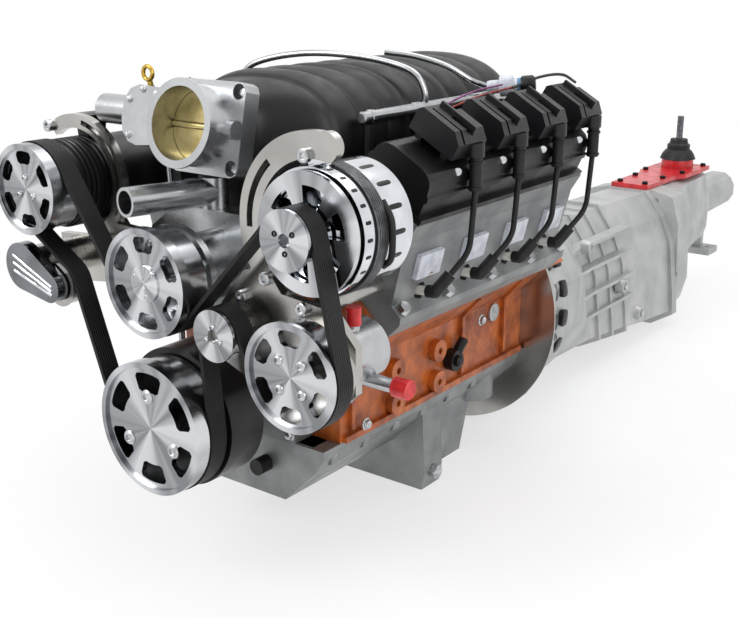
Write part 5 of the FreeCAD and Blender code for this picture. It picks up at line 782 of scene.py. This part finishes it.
RIB_PITCH = 0.00356
belt_rubber, belt_tree, belt_shader = material("ribbed_belt_rubber", Roughness=0.5, Specular_IOR_Level=0.3)
belt_place = node(belt_tree, "ShaderNodeTexCoord").outputs["Object"]
belt_clouds = node(belt_tree, "ShaderNodeTexNoise", Vector=belt_place, Scale=60.0, Detail=5.0)
belt_tint = node(belt_tree, "ShaderNodeMix", {"data_type": "RGBA"}, Factor=belt_clouds.outputs["Fac"],
                 A=linear("#080809"), B=linear("#151516"))
belt_tree.links.new(belt_tint.outputs["Result"], belt_shader.inputs["Base Color"])
# The ribs lie side by side across the belt, so their wave runs along the engine's length.
belt_across = node(belt_tree, "ShaderNodeSeparateXYZ", Vector=belt_place)
belt_phase = node(belt_tree, "ShaderNodeMath", {"operation": "MULTIPLY"}, i0=belt_across.outputs["Y"],
                  i1=2 * math.pi / RIB_PITCH)
belt_wave = node(belt_tree, "ShaderNodeMath", {"operation": "SINE"}, i0=belt_phase.outputs[0])
belt_bump = node(belt_tree, "ShaderNodeBump", Height=belt_wave.outputs[0], Distance=0.0004)
belt_tree.links.new(belt_bump.outputs["Normal"], belt_shader.inputs["Normal"])
dress(belt_rubber, "serpentine_belt")


# Dipstick
# Plated steel tube clamped in front of the block. The stick in it ends in a loop handle that is
# zinc plated and passivated yellow.

dress(tube_steel, "dipstick_tube")
# Yellow passivated zinc: brassy, with small clouds.
yellow_zinc = finish("yellow_zinc_plate", "#a07a22", "#d9b95a", 5, 0.6, 0.02, Metallic=0.8, Roughness=0.24)
dress(yellow_zinc, "dipstick")


# Gearbox
# Pale die-cast aluminium bell, case and tail, bolted together, with ribs and threaded bosses. Hex
# plugs close two of the bosses on each side.

# Die-cast aluminium: pale grey, mottled, with a dull silvery sheen.
pale_alloy = finish("die_cast_gearbox_aluminium", "#a8aaaa", "#bdbebd", 70, 2.0, 0.45,
                    Metallic=0.6, Roughness=0.46)
dress(pale_alloy, "gearbox_case", "tail_housing")
dress(plate_alloy, "dust_cover", "output_shaft")
# Dark pads of painted shade stand for the openings in the bell's flanks.
BELL_RADIUS = 191.5
window_angles = np.radians([28, 12, -4, -20, 152, 168, 184, 200])
bell_window_shade = []
for forward in (-42.0, -78.0):
    bell_window_shade += shade_pads_round((0.0, 0.0), BELL_RADIUS, forward, 20.0, 30.0, window_angles, 1.0, 8.0)
piece("bell_window_shade", bell_window_shade, black_paint, "engine")
# The case's flank lies further out near the bell than behind it.
FRONT_FLANK = 122.0
REAR_FLANK = 112.0
bosses = []
for side in (1, -1):
    for reach, up, forward, radius in ((FRONT_FLANK, 64, -279, 11), (REAR_FLANK, -58, -473, 14),
                                       (REAR_FLANK, -139, -567, 14), (FRONT_FLANK, -72, -250, 10)):
        boss_profile = [(0, 0), (radius + 3, 0), (radius, 16.0), (radius - 2, 17.0), (radius * 0.55, 17.0),
                        (radius * 0.5, 14.5), (0, 14.5)]
        bosses.append(turned(boss_profile, (side * reach, up, forward), (side, 0, 0), 28))
piece("case_bosses", bosses, pale_alloy, "engine")
plugs = [turned([(0, 13.0), (7.5, 13.0), (7.5, 19.0), (6.0, 20.0), (0, 20.0)],
                (side * REAR_FLANK, up, forward), (side, 0, 0), 6)
         for side in (1, -1) for up, forward in ((-58, -473), (-139, -567))]
piece("case_plugs", plugs, zinc, "engine")
BELL_BOLT_REACH = 203.0
BELL_FLANGE_BACK = -16.6
bell_bolts = [(BELL_BOLT_REACH * math.sin(a), BELL_BOLT_REACH * math.cos(a), BELL_FLANGE_BACK)
              for a in np.radians([25, 62, 98, 262, 298, 335])]
piece("bell_bolts", hexes(bell_bolts, (0, 0, -1), 7.0, 8.0), zinc, "engine")
TAIL_FLANGE_BACK = -762.5
tail_flange_bolts = [(side * across, up, TAIL_FLANGE_BACK) for side in (1, -1)
                     for across, up in ((60, 64), (92, 12), (108, -40), (117, -96), (120, -160), (88, -196))]
piece("tail_flange_bolts", hexes(tail_flange_bolts, (0, 0, -1), 6.5, 8.0), zinc, "engine")


# Shifter
# Red painted plate with the tower cast in one, held on the gearbox by black socket screws. A rubber
# boot closes the tower round the steel lever.

# Red gloss paint over a casting: deep red with a slight clear coat.
red_gloss = finish("red_gloss_paint", "#a80f18", "#d8232a", 22, 2.2, 0.1, Roughness=0.34, Coat_Weight=0.2)
dress(red_gloss, "gearbox_top_cover")
TOP_COVER_LEVEL = 98.3
top_cover_spots = [(side * across, TOP_COVER_LEVEL, forward)
                   for across, forward in ((30, -768), (34, -860), (46, -948), (46, -1082))
                   for side in (1, -1)]
piece("top_cover_screws", socket_screws(top_cover_spots, 6.5, 6.0, (0, 1, 0)), black_oxide, "engine")
# Lever steel: a dark grey rod with a satin sheen.
lever_steel = finish("grey_lever_steel", "#4a4c50", "#77797d", 6, 0.8, 0.04, Metallic=0.9, Roughness=0.35)
dress(lever_steel, "gear_lever")
dress(rubber, "shifter_boot")
